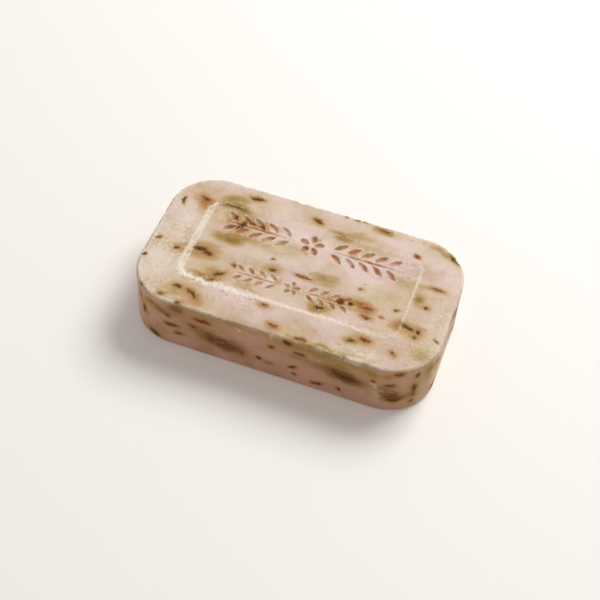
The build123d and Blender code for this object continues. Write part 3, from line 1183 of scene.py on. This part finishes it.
def add_node(tree, kind, inputs=(), **settings):
    """Adds a node, sets its properties, and links or sets its inputs, which are given by name or number or
    else in their order. A node that is given as an input stands for its first output in use."""
    node = tree.nodes.new(kind)
    for name, value in settings.items():
        setattr(node, name, value)
    pairs = inputs.items() if isinstance(inputs, dict) else enumerate(inputs)
    for socket, value in pairs:
        if isinstance(value, bpy.types.Node):
            value = next(output for output in value.outputs if output.enabled)
        if isinstance(value, bpy.types.NodeSocket):
            tree.links.new(value, node.inputs[socket])
        else:
            node.inputs[socket].default_value = value
    return node


def new_material(name):
    """A material with an empty node tree."""
    material = bpy.data.materials.new(name)
    material.use_nodes = True
    material.node_tree.nodes.clear()
    return material


# Shares in the mesh that the soap's colour follows
SOAP_SHARES = (
    "petal_depth", "petal_red", "cream", "deep", "sand", "rust", "olive", "smear", "wear", "stamp", "side",
)

# Patterns in the soap: size of their lumps in millimetres, detail, and whether they are drawn out lengthwise.
# Real chalk, powder and grit are too fine to show, so these are drawn as coarse as they need to be
SOAP_PATTERNS = {
    "clouds": (17, 3.0, False),
    "bands": (6.5, 3.0, True),
    "patches": (4.0, 3.0, False),
    "mottle": (3.0, 3.0, False),
    "fibre": (2.6, 4.0, True),
    "chalk": (1.1, 1.0, False),
    "powder": (0.9, 3.0, False),
    "grit": (0.8, 2.0, False),
}
SOAP_STRETCH = (0.6, 1, 1)  # scale of the patterns that are drawn out
DUST_PITCH = 2.6  # distance from one speck of petal dust to the next, in millimetres
DUST_RIM = (0.22, 0.05)  # distances from a speck's middle, over the pitch, at which it starts and is full
PATCH_ENDS = (0.4, 0.54)  # values of the patches between which stamped soap turns red
SOAP_ROUGHNESS = (0.3, 0.7, 0.6, 0.75)  # two values of the powder, and the roughness that they give


class Layer(NamedTuple):
    """A layer of the soap's colour, which follows a share in the mesh, a pattern, or both where they meet."""

    tone: str
    share: str | None = None
    pattern: str | None = None
    reading: tuple = ()  # two values of the pattern, and what they become
    meeting: str = "MULTIPLY"  # how the share and the pattern make one amount
    ends: tuple = ()  # two amounts, and how far the tone has come in at each, none and full if not given
    blend: str = "MIX"


# How stains and petals are broken up, and where the faint rims and the full tones of stains come in
STREAKY = (0.3, 0.6, 0.75, 1.3)
RAGGED = (0.25, 0.7, 0.6, 1.1)
TORN = (0.3, 0.7, -0.28, 0.28)
FAINT = (0, 0.62)
FULL = (0.2, 0.88)

# The soap's layers of colour from the bottom up
SOAP_LAYERS = (
    Layer("deep", "deep"),
    Layer("cream", "cream", "clouds", (0.42, 0.68, 0, 0.75), "MAXIMUM"),
    Layer("tan", None, "bands", (0.48, 0.72, 0, 0.5)),
    Layer("tan", None, "fibre", (0.55, 0.78, 0, 0.2)),
    Layer("pale", None, "mottle", (0.45, 0.75, 0, 0.3)),
    Layer("tan", None, "powder", (0.5, 0.75, 0, 0.12)),
    Layer("pale", None, "powder", (0.48, 0.25, 0, 0.2)),
    # Painted shade on the front side, multiplied into the colour
    Layer("side", "side", blend="MULTIPLY"),
    Layer("olive_faint", "sand", "grit", (0.4, 0.62, 0.15, 0.8)),
    Layer("pale", "sand", "grit", (0.46, 0.34, 0, 0.6)),
    Layer("olive_faint", "olive", "fibre", STREAKY, ends=FAINT),
    Layer("olive", "olive", "fibre", STREAKY, ends=FULL),
    Layer("rust_faint", "rust", "mottle", RAGGED, ends=FAINT),
    Layer("rust", "rust", "mottle", RAGGED, ends=FULL),
    Layer("smear_faint", "smear", "fibre", STREAKY, ends=FAINT),
    Layer("smear", "smear", "fibre", STREAKY, ends=FULL),
    # Stamped marks: their own tint, and in part painted shade in their hollows
    Layer("stamped", "stamp", "mottle", (0.38, 0.62, 0.3, 0.95)),
    Layer("pale", "wear", "chalk", (0.3, 0.7, -0.24, 0.24), "ADD", (0.16, 0.85, 0, 0.92)),
    Layer("olive", "dust", "dust_tone", (0.64, 0.68, 0, 0.5)),
    Layer("bled", "petal_depth", "powder", TORN, "ADD", (-0.85, 0.1, 0, 0.6)),
    Layer("petal", "petal_depth", "powder", TORN, "ADD", (-0.3, 0.34, 0, 0.94)),
)

# The soap's relief: what the mottle gives it, and the powder on sound soap and on dry or sandy soap as well
MOTTLE_RELIEF = 0.6
SOUND_RELIEF = 0.4
DRY_RELIEF = 1.6


def pressed_soap(colours):
    """Milled toilet soap, pressed and stamped: waxy and slightly translucent, clouded pink and cream, with
    streaks drawn out along the bar, stains where petals bled, and dry pale edges that are in part a painted
    highlight. Painted shade darkens and warms the front side, and in part the bottoms of the stamped marks."""
    material = new_material("pressed_milled_soap")
    tree = material.node_tree
    place = add_node(tree, "ShaderNodeTexCoord").outputs["Object"]
    drawn = add_node(tree, "ShaderNodeMapping", {"Vector": place, "Scale": SOAP_STRETCH})
    field = {}
    for name in SOAP_SHARES:
        field[name] = add_node(tree, "ShaderNodeAttribute", attribute_name=name).outputs["Fac"]
    for name, (size, detail, is_drawn) in SOAP_PATTERNS.items():
        field[name] = add_node(tree, "ShaderNodeTexNoise", {
            "Vector": drawn if is_drawn else place, "Scale": 1 / (size * MM), "Detail": detail,
        })
    dust = add_node(tree, "ShaderNodeTexVoronoi", {"Vector": drawn, "Scale": 1 / (DUST_PITCH * MM)})
    field["dust"] = add_node(tree, "ShaderNodeMapRange", (dust.outputs["Distance"], *DUST_RIM))
    field["dust_tone"] = dust.outputs["Color"]
    field["patchy"] = add_node(tree, "ShaderNodeMapRange", (field["patches"], *PATCH_ENDS))

    # Tones that are mixed of two colours
    tones = {name: opaque(getattr(colours, name)) for name in SoapColours.__annotations__}
    for name, factor, first, second in (
        ("stamped", "patchy", "stamp", "stamp_red"),
        ("bled", "petal_red", "olive", "rust"),
        ("petal", "petal_red", "petal_dark", "petal_red"),
    ):
        parts = {MIX_FACTOR: field[factor], MIX_FIRST: tones[first], MIX_SECOND: tones[second]}
        tones[name] = add_node(tree, "ShaderNodeMix", parts, data_type="RGBA")

    colour = tones["pink"]
    for layer in SOAP_LAYERS:
        factor = field.get(layer.share)
        if layer.pattern:
            pattern = add_node(tree, "ShaderNodeMapRange", (field[layer.pattern], *layer.reading))
            if layer.share:
                pattern = add_node(tree, "ShaderNodeMath", (factor, pattern), operation=layer.meeting)
            factor = pattern
        if layer.ends:
            factor = add_node(tree, "ShaderNodeMapRange", (factor, *layer.ends))
        parts = {MIX_FACTOR: factor, MIX_FIRST: colour, MIX_SECOND: tones[layer.tone]}
        colour = add_node(tree, "ShaderNodeMix", parts, data_type="RGBA", blend_type=layer.blend)

    dry = add_node(tree, "ShaderNodeMath", (field["wear"], field["sand"]), operation="MAXIMUM")
    crumbly = add_node(tree, "ShaderNodeMath", (dry, DRY_RELIEF, SOUND_RELIEF), operation="MULTIPLY_ADD")
    lumpy = add_node(tree, "ShaderNodeMath", (field["mottle"], MOTTLE_RELIEF), operation="MULTIPLY")
    height = add_node(tree, "ShaderNodeMath", (field["powder"], crumbly, lumpy), operation="MULTIPLY_ADD")
    bump = add_node(tree, "ShaderNodeBump", {"Height": height, "Strength": 0.4, "Distance": 0.14 * MM})
    surface = add_node(tree, "ShaderNodeBsdfPrincipled", {
        "Base Color": colour,
        "Roughness": add_node(tree, "ShaderNodeMapRange", (field["powder"], *SOAP_ROUGHNESS)),
        "IOR": 1.46,
        "Specular IOR Level": 0.3,
        "Normal": bump,
        "Subsurface Weight": 0.2,
        "Subsurface Radius": (1.0, 0.5, 0.35),
        "Subsurface Scale": 0.45 * MM,
    })
    add_node(tree, "ShaderNodeOutputMaterial", {"Surface": surface})
    return material


PETAL_FIBRE = 0.5  # size of the fibres' lumps in millimetres, coarser than real ones so that they show
PETAL_STRETCH = (0.5, 1, 1)  # scale of the fibres, which run along the bar
PETAL_BLEACH = (0.45, 0.75, 0, 0.25)  # two values of the fibres, and how bleached the petal is there


def dried_petal(colours):
    """Dried petal, torn small: matt and fibrous, brown with some red left, lighter along its fibres."""
    material = new_material("dried_petal")
    tree = material.node_tree
    place = add_node(tree, "ShaderNodeTexCoord").outputs["Object"]
    drawn = add_node(tree, "ShaderNodeMapping", {"Vector": place, "Scale": PETAL_STRETCH})
    redness = add_node(tree, "ShaderNodeAttribute", attribute_name="petal_red").outputs["Fac"]
    scale = 1 / (PETAL_FIBRE * MM)
    fibre = add_node(tree, "ShaderNodeTexNoise", {"Vector": drawn, "Scale": scale, "Detail": 3.0})
    bleached = add_node(tree, "ShaderNodeMapRange", (fibre, *PETAL_BLEACH))
    colour = opaque(colours.petal_dark)
    for factor, tone in ((redness, colours.petal_red), (bleached, colours.rust)):
        parts = {MIX_FACTOR: factor, MIX_FIRST: colour, MIX_SECOND: opaque(tone)}
        colour = add_node(tree, "ShaderNodeMix", parts, data_type="RGBA")
    bump = add_node(tree, "ShaderNodeBump", {"Height": fibre, "Strength": 0.5, "Distance": 0.15 * MM})
    surface = add_node(tree, "ShaderNodeBsdfPrincipled", {
        "Base Color": colour, "Roughness": 0.75, "Specular IOR Level": 0.15, "Normal": bump,
    })
    add_node(tree, "ShaderNodeOutputMaterial", {"Surface": surface})
    return material


CRUMB_TONE_SIZE = 2.0  # size of the patches of one tone, in millimetres
CRUMB_TONE_ENDS = (0.35, 0.7)  # values of the patches between which pale soap turns to cream


def crumbled_soap(colours):
    """Dry crumbs of soap, broken off the edges: chalky and paler than the bar."""
    material = new_material("crumbled_dry_soap")
    tree = material.node_tree
    place = add_node(tree, "ShaderNodeTexCoord").outputs["Object"]
    scale = 1 / (CRUMB_TONE_SIZE * MM)
    patches = add_node(tree, "ShaderNodeTexNoise", {"Vector": place, "Scale": scale, "Detail": 2.0})
    factor = add_node(tree, "ShaderNodeMapRange", (patches, *CRUMB_TONE_ENDS))
    parts = {MIX_FACTOR: factor, MIX_FIRST: opaque(colours.pale), MIX_SECOND: opaque(colours.cream)}
    surface = add_node(tree, "ShaderNodeBsdfPrincipled", {
        "Base Color": add_node(tree, "ShaderNodeMix", parts, data_type="RGBA"),
        "Roughness": 0.7,
        "IOR": 1.46,
        "Subsurface Weight": 0.5,
        "Subsurface Radius": (1.0, 0.8, 0.6),
        "Subsurface Scale": 0.5 * MM,
    })
    add_node(tree, "ShaderNodeOutputMaterial", {"Surface": surface})
    return material


# The floor's own glow where it is seen, where it fades to the surround in metres, and the surround's white
FLOOR_GLOW = 0.1
FLOOR_FADE = (0.3, 1.0)
SURROUND = 0.95


def painted_floor(colours):
    """Matt painted board: near white where it is seen, with the bar's shadow on it, fading to the white of
    the surround further off, and a warmer, darker colour in the light that it throws back."""
    material = new_material("painted_board")
    tree = material.node_tree
    path = add_node(tree, "ShaderNodeLightPath").outputs
    seen = path["Is Camera Ray"]
    for ray in ("Is Glossy Ray", "Is Transmission Ray"):
        seen = add_node(tree, "ShaderNodeMath", (seen, path[ray]), operation="ADD")
    parts = {MIX_FACTOR: seen, MIX_FIRST: opaque(colours.bounce), MIX_SECOND: opaque(colours.floor)}
    tone = add_node(tree, "ShaderNodeMix", parts, data_type="RGBA")
    glow = add_node(tree, "ShaderNodeMath", (seen, FLOOR_GLOW), operation="MULTIPLY")
    board = add_node(tree, "ShaderNodeBsdfDiffuse", {"Color": tone})
    light = add_node(tree, "ShaderNodeEmission", {"Strength": glow})
    lit_board = add_node(tree, "ShaderNodeAddShader", (board, light))
    place = add_node(tree, "ShaderNodeTexCoord").outputs["Object"]
    distance = add_node(tree, "ShaderNodeVectorMath", (place,), operation="LENGTH")
    far = add_node(tree, "ShaderNodeMapRange", (distance, *FLOOR_FADE), interpolation_type="SMOOTHSTEP")
    faded = add_node(tree, "ShaderNodeMath", (far, seen), operation="MULTIPLY")
    surround = add_node(tree, "ShaderNodeEmission", {"Strength": SURROUND})
    whole = add_node(tree, "ShaderNodeMixShader", (faded, lit_board, surround))
    add_node(tree, "ShaderNodeOutputMaterial", {"Surface": whole})
    return material


def settle(piece, tree, values):
    """Runs a node tree on a piece with these input values and keeps the result as the piece's plain mesh."""
    modifier = piece.modifiers.new(tree.name, "NODES")
    modifier.node_group = tree
    for item in tree.interface.items_tree:
        if item.in_out == "INPUT" and item.name in values:
            modifier[item.identifier] = values[item.name]
    depsgraph = bpy.context.evaluated_depsgraph_get()
    mesh = bpy.data.meshes.new_from_object(piece.evaluated_get(depsgraph), depsgraph=depsgraph)
    piece.modifiers.clear()
    piece.data = mesh
    if not mesh.polygons:
        raise RuntimeError(f"{tree.name} made no faces")


def new_tree(name, **sockets):
    """A geometry node tree with a geometry input and output and these further inputs, and the sockets that
    its inputs come from."""
    tree = bpy.data.node_groups.new(name, "GeometryNodeTree")
    tree.interface.new_socket("Geometry", in_out="OUTPUT", socket_type="NodeSocketGeometry")
    tree.interface.new_socket("Geometry", in_out="INPUT", socket_type="NodeSocketGeometry")
    for socket, kind in sockets.items():
        tree.interface.new_socket(socket, in_out="INPUT", socket_type=kind)
    return tree, add_node(tree, "NodeGroupInput").outputs


# What each petal's point and each flake's corners keep for the node tree, with its kind
PETAL_VALUES = {
    "petal_kind": "INT",
    "petal_turn": "FLOAT_VECTOR",
    "petal_size": "FLOAT_VECTOR",
    "petal_lift": "FLOAT",
}


def petal_tree():
    """Lays a torn petal on each point, bends it to the soap's surface and keeps its rim under it."""
    tree, given = new_tree(
        "petals_in_soap", Soap="NodeSocketObject", Flakes="NodeSocketCollection", Lift="NodeSocketFloat",
        Material="NodeSocketMaterial",
    )
    kept = {}
    for name, kind in PETAL_VALUES.items():
        kept[name] = add_node(tree, "GeometryNodeInputNamedAttribute", {"Name": name}, data_type=kind)
    laid = add_node(tree, "GeometryNodeInstanceOnPoints", {
        "Points": given["Geometry"],
        "Instance": add_node(tree, "GeometryNodeCollectionInfo", {
            "Collection": given["Flakes"], "Separate Children": True, "Reset Children": True,
        }),
        "Pick Instance": True,
        "Instance Index": kept["petal_kind"],
        "Rotation": kept["petal_turn"],
        "Scale": kept["petal_size"],
    })
    real = add_node(tree, "GeometryNodeRealizeInstances", {"Geometry": laid})
    soap = add_node(tree, "GeometryNodeObjectInfo", {"Object": given["Soap"]}).outputs["Geometry"]
    on_soap = []
    for field in ("GeometryNodeInputPosition", "GeometryNodeInputNormal"):
        parts = {"Mesh": soap, "Value": add_node(tree, field)}
        on_soap.append(add_node(tree, "GeometryNodeSampleNearestSurface", parts, data_type="FLOAT_VECTOR"))
    surface, normal = on_soap
    lift = add_node(tree, "ShaderNodeMath", (kept["petal_lift"], given["Lift"]), operation="MULTIPLY")
    raised = add_node(tree, "ShaderNodeVectorMath", {"Vector": normal, "Scale": lift}, operation="SCALE")
    place = add_node(tree, "ShaderNodeVectorMath", (surface, raised), operation="ADD")
    bent = add_node(tree, "GeometryNodeSetPosition", {"Geometry": real, "Position": place})
    done = add_node(tree, "GeometryNodeSetMaterial", {"Geometry": bent, "Material": given["Material"]})
    add_node(tree, "NodeGroupOutput", {"Geometry": done})
    return tree


# Crumbs: the least and most share of their size in each direction, and how far they lean, in radians
CRUMB_LEAST = (0.3, 0.3, 0.2)
CRUMB_MOST = (1.0, 1.0, 0.5)
CRUMB_LEAN = 0.4


def crumb_tree():
    """Strews lumpy crumbs over the soap where it is worn."""
    tree, given = new_tree(
        "crumbs_on_soap", Size="NodeSocketFloat", Density="NodeSocketFloat", Seed="NodeSocketInt",
        Material="NodeSocketMaterial",
    )
    worn = add_node(tree, "GeometryNodeInputNamedAttribute", {"Name": "crumb"}, data_type="FLOAT")
    density = add_node(tree, "ShaderNodeMath", (worn, given["Density"]), operation="MULTIPLY")
    strewn = add_node(tree, "GeometryNodeDistributePointsOnFaces", {
        "Mesh": given["Geometry"], "Density": density, "Seed": given["Seed"],
    })
    size = add_node(tree, "FunctionNodeRandomValue", {
        "Min": CRUMB_LEAST, "Max": CRUMB_MOST,
    }, data_type="FLOAT_VECTOR")
    turn = add_node(tree, "FunctionNodeRandomValue", {
        "Min": (-CRUMB_LEAN, -CRUMB_LEAN, 0.0), "Max": (CRUMB_LEAN, CRUMB_LEAN, math.tau), "Seed": 1,
    }, data_type="FLOAT_VECTOR")
    laid = add_node(tree, "GeometryNodeInstanceOnPoints", {
        "Points": strewn,
        "Instance": add_node(tree, "GeometryNodeMeshIcoSphere", {"Radius": given["Size"], "Subdivisions": 1}),
        "Rotation": turn,
        "Scale": size,
    })
    real = add_node(tree, "GeometryNodeRealizeInstances", {"Geometry": laid})
    done = add_node(tree, "GeometryNodeSetMaterial", {"Geometry": real, "Material": given["Material"]})
    add_node(tree, "NodeGroupOutput", {"Geometry": done})
    return tree


# Torn flakes: how many kinds there are, their size over their petal's, and the half width of the smallest
# petal that has one, in millimetres
FLAKE_KINDS = 5
FLAKE_SHARE = 0.5
FLAKE_LEAST = 0.6

# A flake's two rings of corners, with their count, reach, and least and most lift, and its other corners
FLAKE_INNER = (7, 0.55, 0.3, 1.1)
FLAKE_RIM = (14, 1.0, -1.0, -0.9)
FLAKE_TEAR = (0.6, 1.15)  # least and most share of a ring's reach that its corners have
FLAKE_POINT = 0.3  # share of the width that is missing towards its two ends
FLAKE_MIDDLE = (0.7, 1.2)  # least and most lift
FLAKE_KEEL = -2.0  # lift of the corner that closes it below


def torn_flake(name, chance):
    """One torn petal of unit length and width, lying flat: ragged, wrinkled and thickest in its middle.
    Its corners keep their lift out of the soap."""
    corners = [(0.0, 0.0, chance.uniform(*FLAKE_MIDDLE))]
    for count, reach, low, high in (FLAKE_INNER, FLAKE_RIM):
        for step in range(count):
            angle = math.tau * step / count
            spread = reach * chance.uniform(*FLAKE_TEAR) / 2
            pointed = 1 - FLAKE_POINT * abs(math.cos(angle)) ** 3
            x, y = spread * math.cos(angle), spread * math.sin(angle) * pointed
            corners.append((x, y, chance.uniform(low, high)))
    keel = len(corners)
    corners.append((0.0, 0.0, FLAKE_KEEL))
    inner = range(1, 1 + FLAKE_INNER[0])
    rim = range(inner.stop, inner.stop + FLAKE_RIM[0])
    faces = []
    for step, here in enumerate(inner):
        following = inner[(step + 1) % len(inner)]
        near_rim, middle, far_rim = rim[2 * step], rim[2 * step + 1], rim[(2 * step + 2) % len(rim)]
        faces.append((0, here, following))
        faces.append((here, near_rim, middle))
        faces.append((here, middle, following))
        faces.append((following, middle, far_rim))
        faces.append((near_rim, keel, middle))
        faces.append((middle, keel, far_rim))
    mesh = bpy.data.meshes.new(name)
    mesh.from_pydata([(x, y, 0) for x, y, _ in corners], [], faces)
    mesh.shade_smooth()
    store(mesh, "petal_lift", [lift for _, _, lift in corners])
    return mesh


class SOAP_OT_bar(bpy.types.Operator):
    """Makes the bar's stamped and worn skin in place of its CAD solid"""

    bl_idname = "soap.bar"
    bl_label = "Soap bar"

    def execute(self, context):
        scene = context.scene
        form = BarForm(scene.soap_sizes)
        rows = (scene.soap_upper_row, scene.soap_lower_row)
        features = SoapFeatures(form, scene.soap_petals.seed)
        skin = WornSkin(form, scene.soap_sizes, rows, features)
        mesh = bpy.data.meshes.new("soap_bar_skin")
        mesh.from_pydata((skin.points * MM).tolist(), [], skin.faces)
        mesh.shade_smooth()
        for name, values in skin.shares.items():
            store(mesh, name, values)
        mesh.materials.append(pressed_soap(scene.soap_colours))
        bar = new_object("soap_bar_skin", mesh)
        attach(bar, BODY)
        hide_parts(NODE)
        return {"FINISHED"}


class SOAP_OT_petals(bpy.types.Operator):
    """Lays the dried petals in the bar's skin"""

    bl_idname = "soap.petals"
    bl_label = "Dried petals"

    def execute(self, context):
        scene = context.scene
        settings = scene.soap_petals
        chance = np.random.default_rng(settings.seed)
        features = SoapFeatures(BarForm(scene.soap_sizes), settings.seed)
        kinds = bpy.data.collections.new("torn_flakes")
        scene.collection.children.link(kinds)
        for kind in range(FLAKE_KINDS):
            name = f"torn_flake_{kind}"
            kinds.objects.link(bpy.data.objects.new(name, torn_flake(name, chance)))
        shown = [
            petal for petal in features.petals
            if petal.spot.half_width >= FLAKE_LEAST and petal.spot.centre.z > 0
        ]
        spots = [petal.spot for petal in shown]
        turns = [Matrix((spot.along, spot.across, spot.outward)).transposed().to_euler() for spot in spots]
        sizes = [(2 * spot.half_length, 2 * spot.half_width, 1) for spot in spots]
        mesh = bpy.data.meshes.new("petal_flakes")
        mesh.from_pydata([spot.centre * MM for spot in spots], [], [])
        store(mesh, "petal_turn", [tuple(turn) for turn in turns], "FLOAT_VECTOR")
        store(mesh, "petal_size", np.array(sizes) * FLAKE_SHARE * MM, "FLOAT_VECTOR")
        store(mesh, "petal_kind", chance.integers(0, FLAKE_KINDS, len(spots)), "INT")
        store(mesh, "petal_red", [petal.redness for petal in shown])
        petals = new_object("petal_flakes", mesh)
        settle(petals, petal_tree(), {
            "Soap": bpy.data.objects["soap_bar_skin"], "Flakes": kinds, "Lift": settings.lift,
            "Material": dried_petal(scene.soap_colours),
        })
        for flake in list(kinds.objects):
            bpy.data.objects.remove(flake)
        bpy.data.collections.remove(kinds)
        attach(petals, BODY)
        return {"FINISHED"}


class SOAP_OT_crumbs(bpy.types.Operator):
    """Strews crumbs along the worn edges"""

    bl_idname = "soap.crumbs"
    bl_label = "Soap crumbs"

    def execute(self, context):
        scene = context.scene
        settings = scene.soap_petals
        crumbs = new_object("soap_crumbs", bpy.data.objects["soap_bar_skin"].data.copy())
        settle(crumbs, crumb_tree(), {
            "Size": settings.crumb_size, "Density": settings.crumb_density, "Seed": settings.seed,
            "Material": crumbled_soap(scene.soap_colours),
        })
        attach(crumbs, BODY)
        return {"FINISHED"}


# The stage, in metres: the floor with its gap under the bar, and the places and widths of the lamps
FLOOR_REACH = 6.0
FLOOR_GAP = 0.02 * MM
KEY_PLACE = (0.32, 0.66, 0.86)
KEY_WIDTH = 0.6
FILL_PLACE = (-0.7, -0.7, 0.9)
FILL_WIDTH = 0.9
LAMP_AIM = Vector((0, 0, 0.01))
CLIP_RATIO = 100  # the camera's far clip over its distance, and its distance over its near clip


def add_lamp(name, place, width, power, colour=(1, 1, 1)):
    """A square soft lamp at a place, turned to the bar."""
    lamp = bpy.data.lights.new(name, "AREA")
    lamp.size = width
    lamp.energy = power
    lamp.color = colour
    holder = new_object(name, lamp)
    holder.location = place
    holder.rotation_euler = (LAMP_AIM - Vector(place)).to_track_quat("-Z", "Y").to_euler()


class SOAP_OT_stage(bpy.types.Operator):
    """Sets the floor, the lamps, the room's light and the camera"""

    bl_idname = "soap.stage"
    bl_label = "Stage"

    def execute(self, context):
        scene = context.scene
        stage = scene.soap_stage
        mesh = bpy.data.meshes.new("floor")
        signs = ((-1, -1), (1, -1), (1, 1), (-1, 1))
        corners = [(x * FLOOR_REACH, y * FLOOR_REACH, -FLOOR_GAP) for x, y in signs]
        mesh.from_pydata(corners, [], [(0, 1, 2, 3)])
        mesh.materials.append(painted_floor(scene.soap_colours))
        new_object("floor", mesh)
        add_lamp("key_lamp", KEY_PLACE, KEY_WIDTH, stage.key_power)
        add_lamp("fill_lamp", FILL_PLACE, FILL_WIDTH, stage.fill_power, scene.soap_colours.fill)

        # The room's even light, which the camera sees as the white surround
        world = bpy.data.worlds.new("studio_room")
        world.use_nodes = True
        tree = world.node_tree
        tree.nodes.clear()
        seen = add_node(tree, "ShaderNodeLightPath").outputs["Is Camera Ray"]
        strength = add_node(tree, "ShaderNodeMapRange", {
            "Value": seen, "To Min": stage.world_strength, "To Max": SURROUND,
        })
        room = add_node(tree, "ShaderNodeBackground", {"Color": opaque((1, 1, 1)), "Strength": strength})
        add_node(tree, "ShaderNodeOutputWorld", {"Surface": room})
        scene.world = world

        # The camera, turned about the point that it looks at and then about its own axis
        camera = new_object("camera", bpy.data.cameras.new("camera"))
        camera.data.lens = stage.lens
        turn, rise = stage.azimuth, stage.elevation
        back = Vector((math.sin(turn) * math.cos(rise), -math.cos(turn) * math.cos(rise), math.sin(rise)))
        right = (-back).cross(UP).normalized()
        upright = right.cross(-back)
        axes = Matrix((right, upright, back)).transposed() @ Matrix.Rotation(stage.roll, 3, "Z")
        aim = Vector((stage.aim_x, stage.aim_y, 0))
        camera.matrix_world = Matrix.Translation(aim + back * stage.distance) @ axes.to_4x4()
        camera.data.clip_start = stage.distance / CLIP_RATIO
        camera.data.clip_end = stage.distance * CLIP_RATIO
        scene.camera = camera
        scene.view_settings.view_transform = "Standard"
        return {"FINISHED"}


class SOAP_PT_panel(bpy.types.Panel):
    """The steps and values of the soap bar, in the sidebar"""

    bl_idname = "SOAP_PT_panel"
    bl_label = "Petal soap bar"
    bl_space_type = "VIEW_3D"
    bl_region_type = "UI"
    bl_category = "Soap"

    def draw(self, context):
        layout = self.layout
        for operator in OPERATORS:
            layout.operator(operator.bl_idname)
        for name in SETTINGS:
            group = getattr(context.scene, name)
            column = layout.box().column()
            for value in group.bl_rna.properties:
                if value.identifier not in ("rna_type", "name"):
                    column.prop(group, value.identifier)


OPERATORS = (SOAP_OT_bar, SOAP_OT_petals, SOAP_OT_crumbs, SOAP_OT_stage)
GROUPS = (SoapBarSizes, SoapRowSizes, SoapColours, SoapPetalSettings, SoapStageSettings)

# The groups of values in the scene, by the names that they are kept under
SETTINGS = {
    "soap_sizes": SoapBarSizes,
    "soap_upper_row": SoapRowSizes,
    "soap_lower_row": SoapRowSizes,
    "soap_colours": SoapColours,
    "soap_petals": SoapPetalSettings,
    "soap_stage": SoapStageSettings,
}

# Sizes of the border's lower row. Those of the upper row are the defaults
LOWER_ROW = {
    "place": -9.0 * MM,
    "blossom_radius": 2.9 * MM,
    "leaf_length": 3.7 * MM,
    "leaf_width": 1.4 * MM,
    "leaf_pairs": 4,
    "leaf_pitch": 3.7 * MM,
    "stem_width": 0.7 * MM,
}


def register():
    """Adds the classes to Blender, and the groups of values to its scenes."""
    for kind in GROUPS + OPERATORS + (SOAP_PT_panel,):
        bpy.utils.register_class(kind)
    for name, group in SETTINGS.items():
        setattr(bpy.types.Scene, name, bpy.props.PointerProperty(type=group))


def unregister():
    """Takes the groups of values and the classes out again."""
    for name in SETTINGS:
        delattr(bpy.types.Scene, name)
    for kind in reversed(GROUPS + OPERATORS + (SOAP_PT_panel,)):
        bpy.utils.unregister_class(kind)


def main():
    """Registers the add-on, and makes every piece and the stage."""
    register()
    for name, value in LOWER_ROW.items():
        setattr(bpy.context.scene.soap_lower_row, name, value)
    bpy.ops.soap.bar()
    bpy.ops.soap.petals()
    bpy.ops.soap.crumbs()
    bpy.ops.soap.stage()


if __name__ == "__main__":
    main()
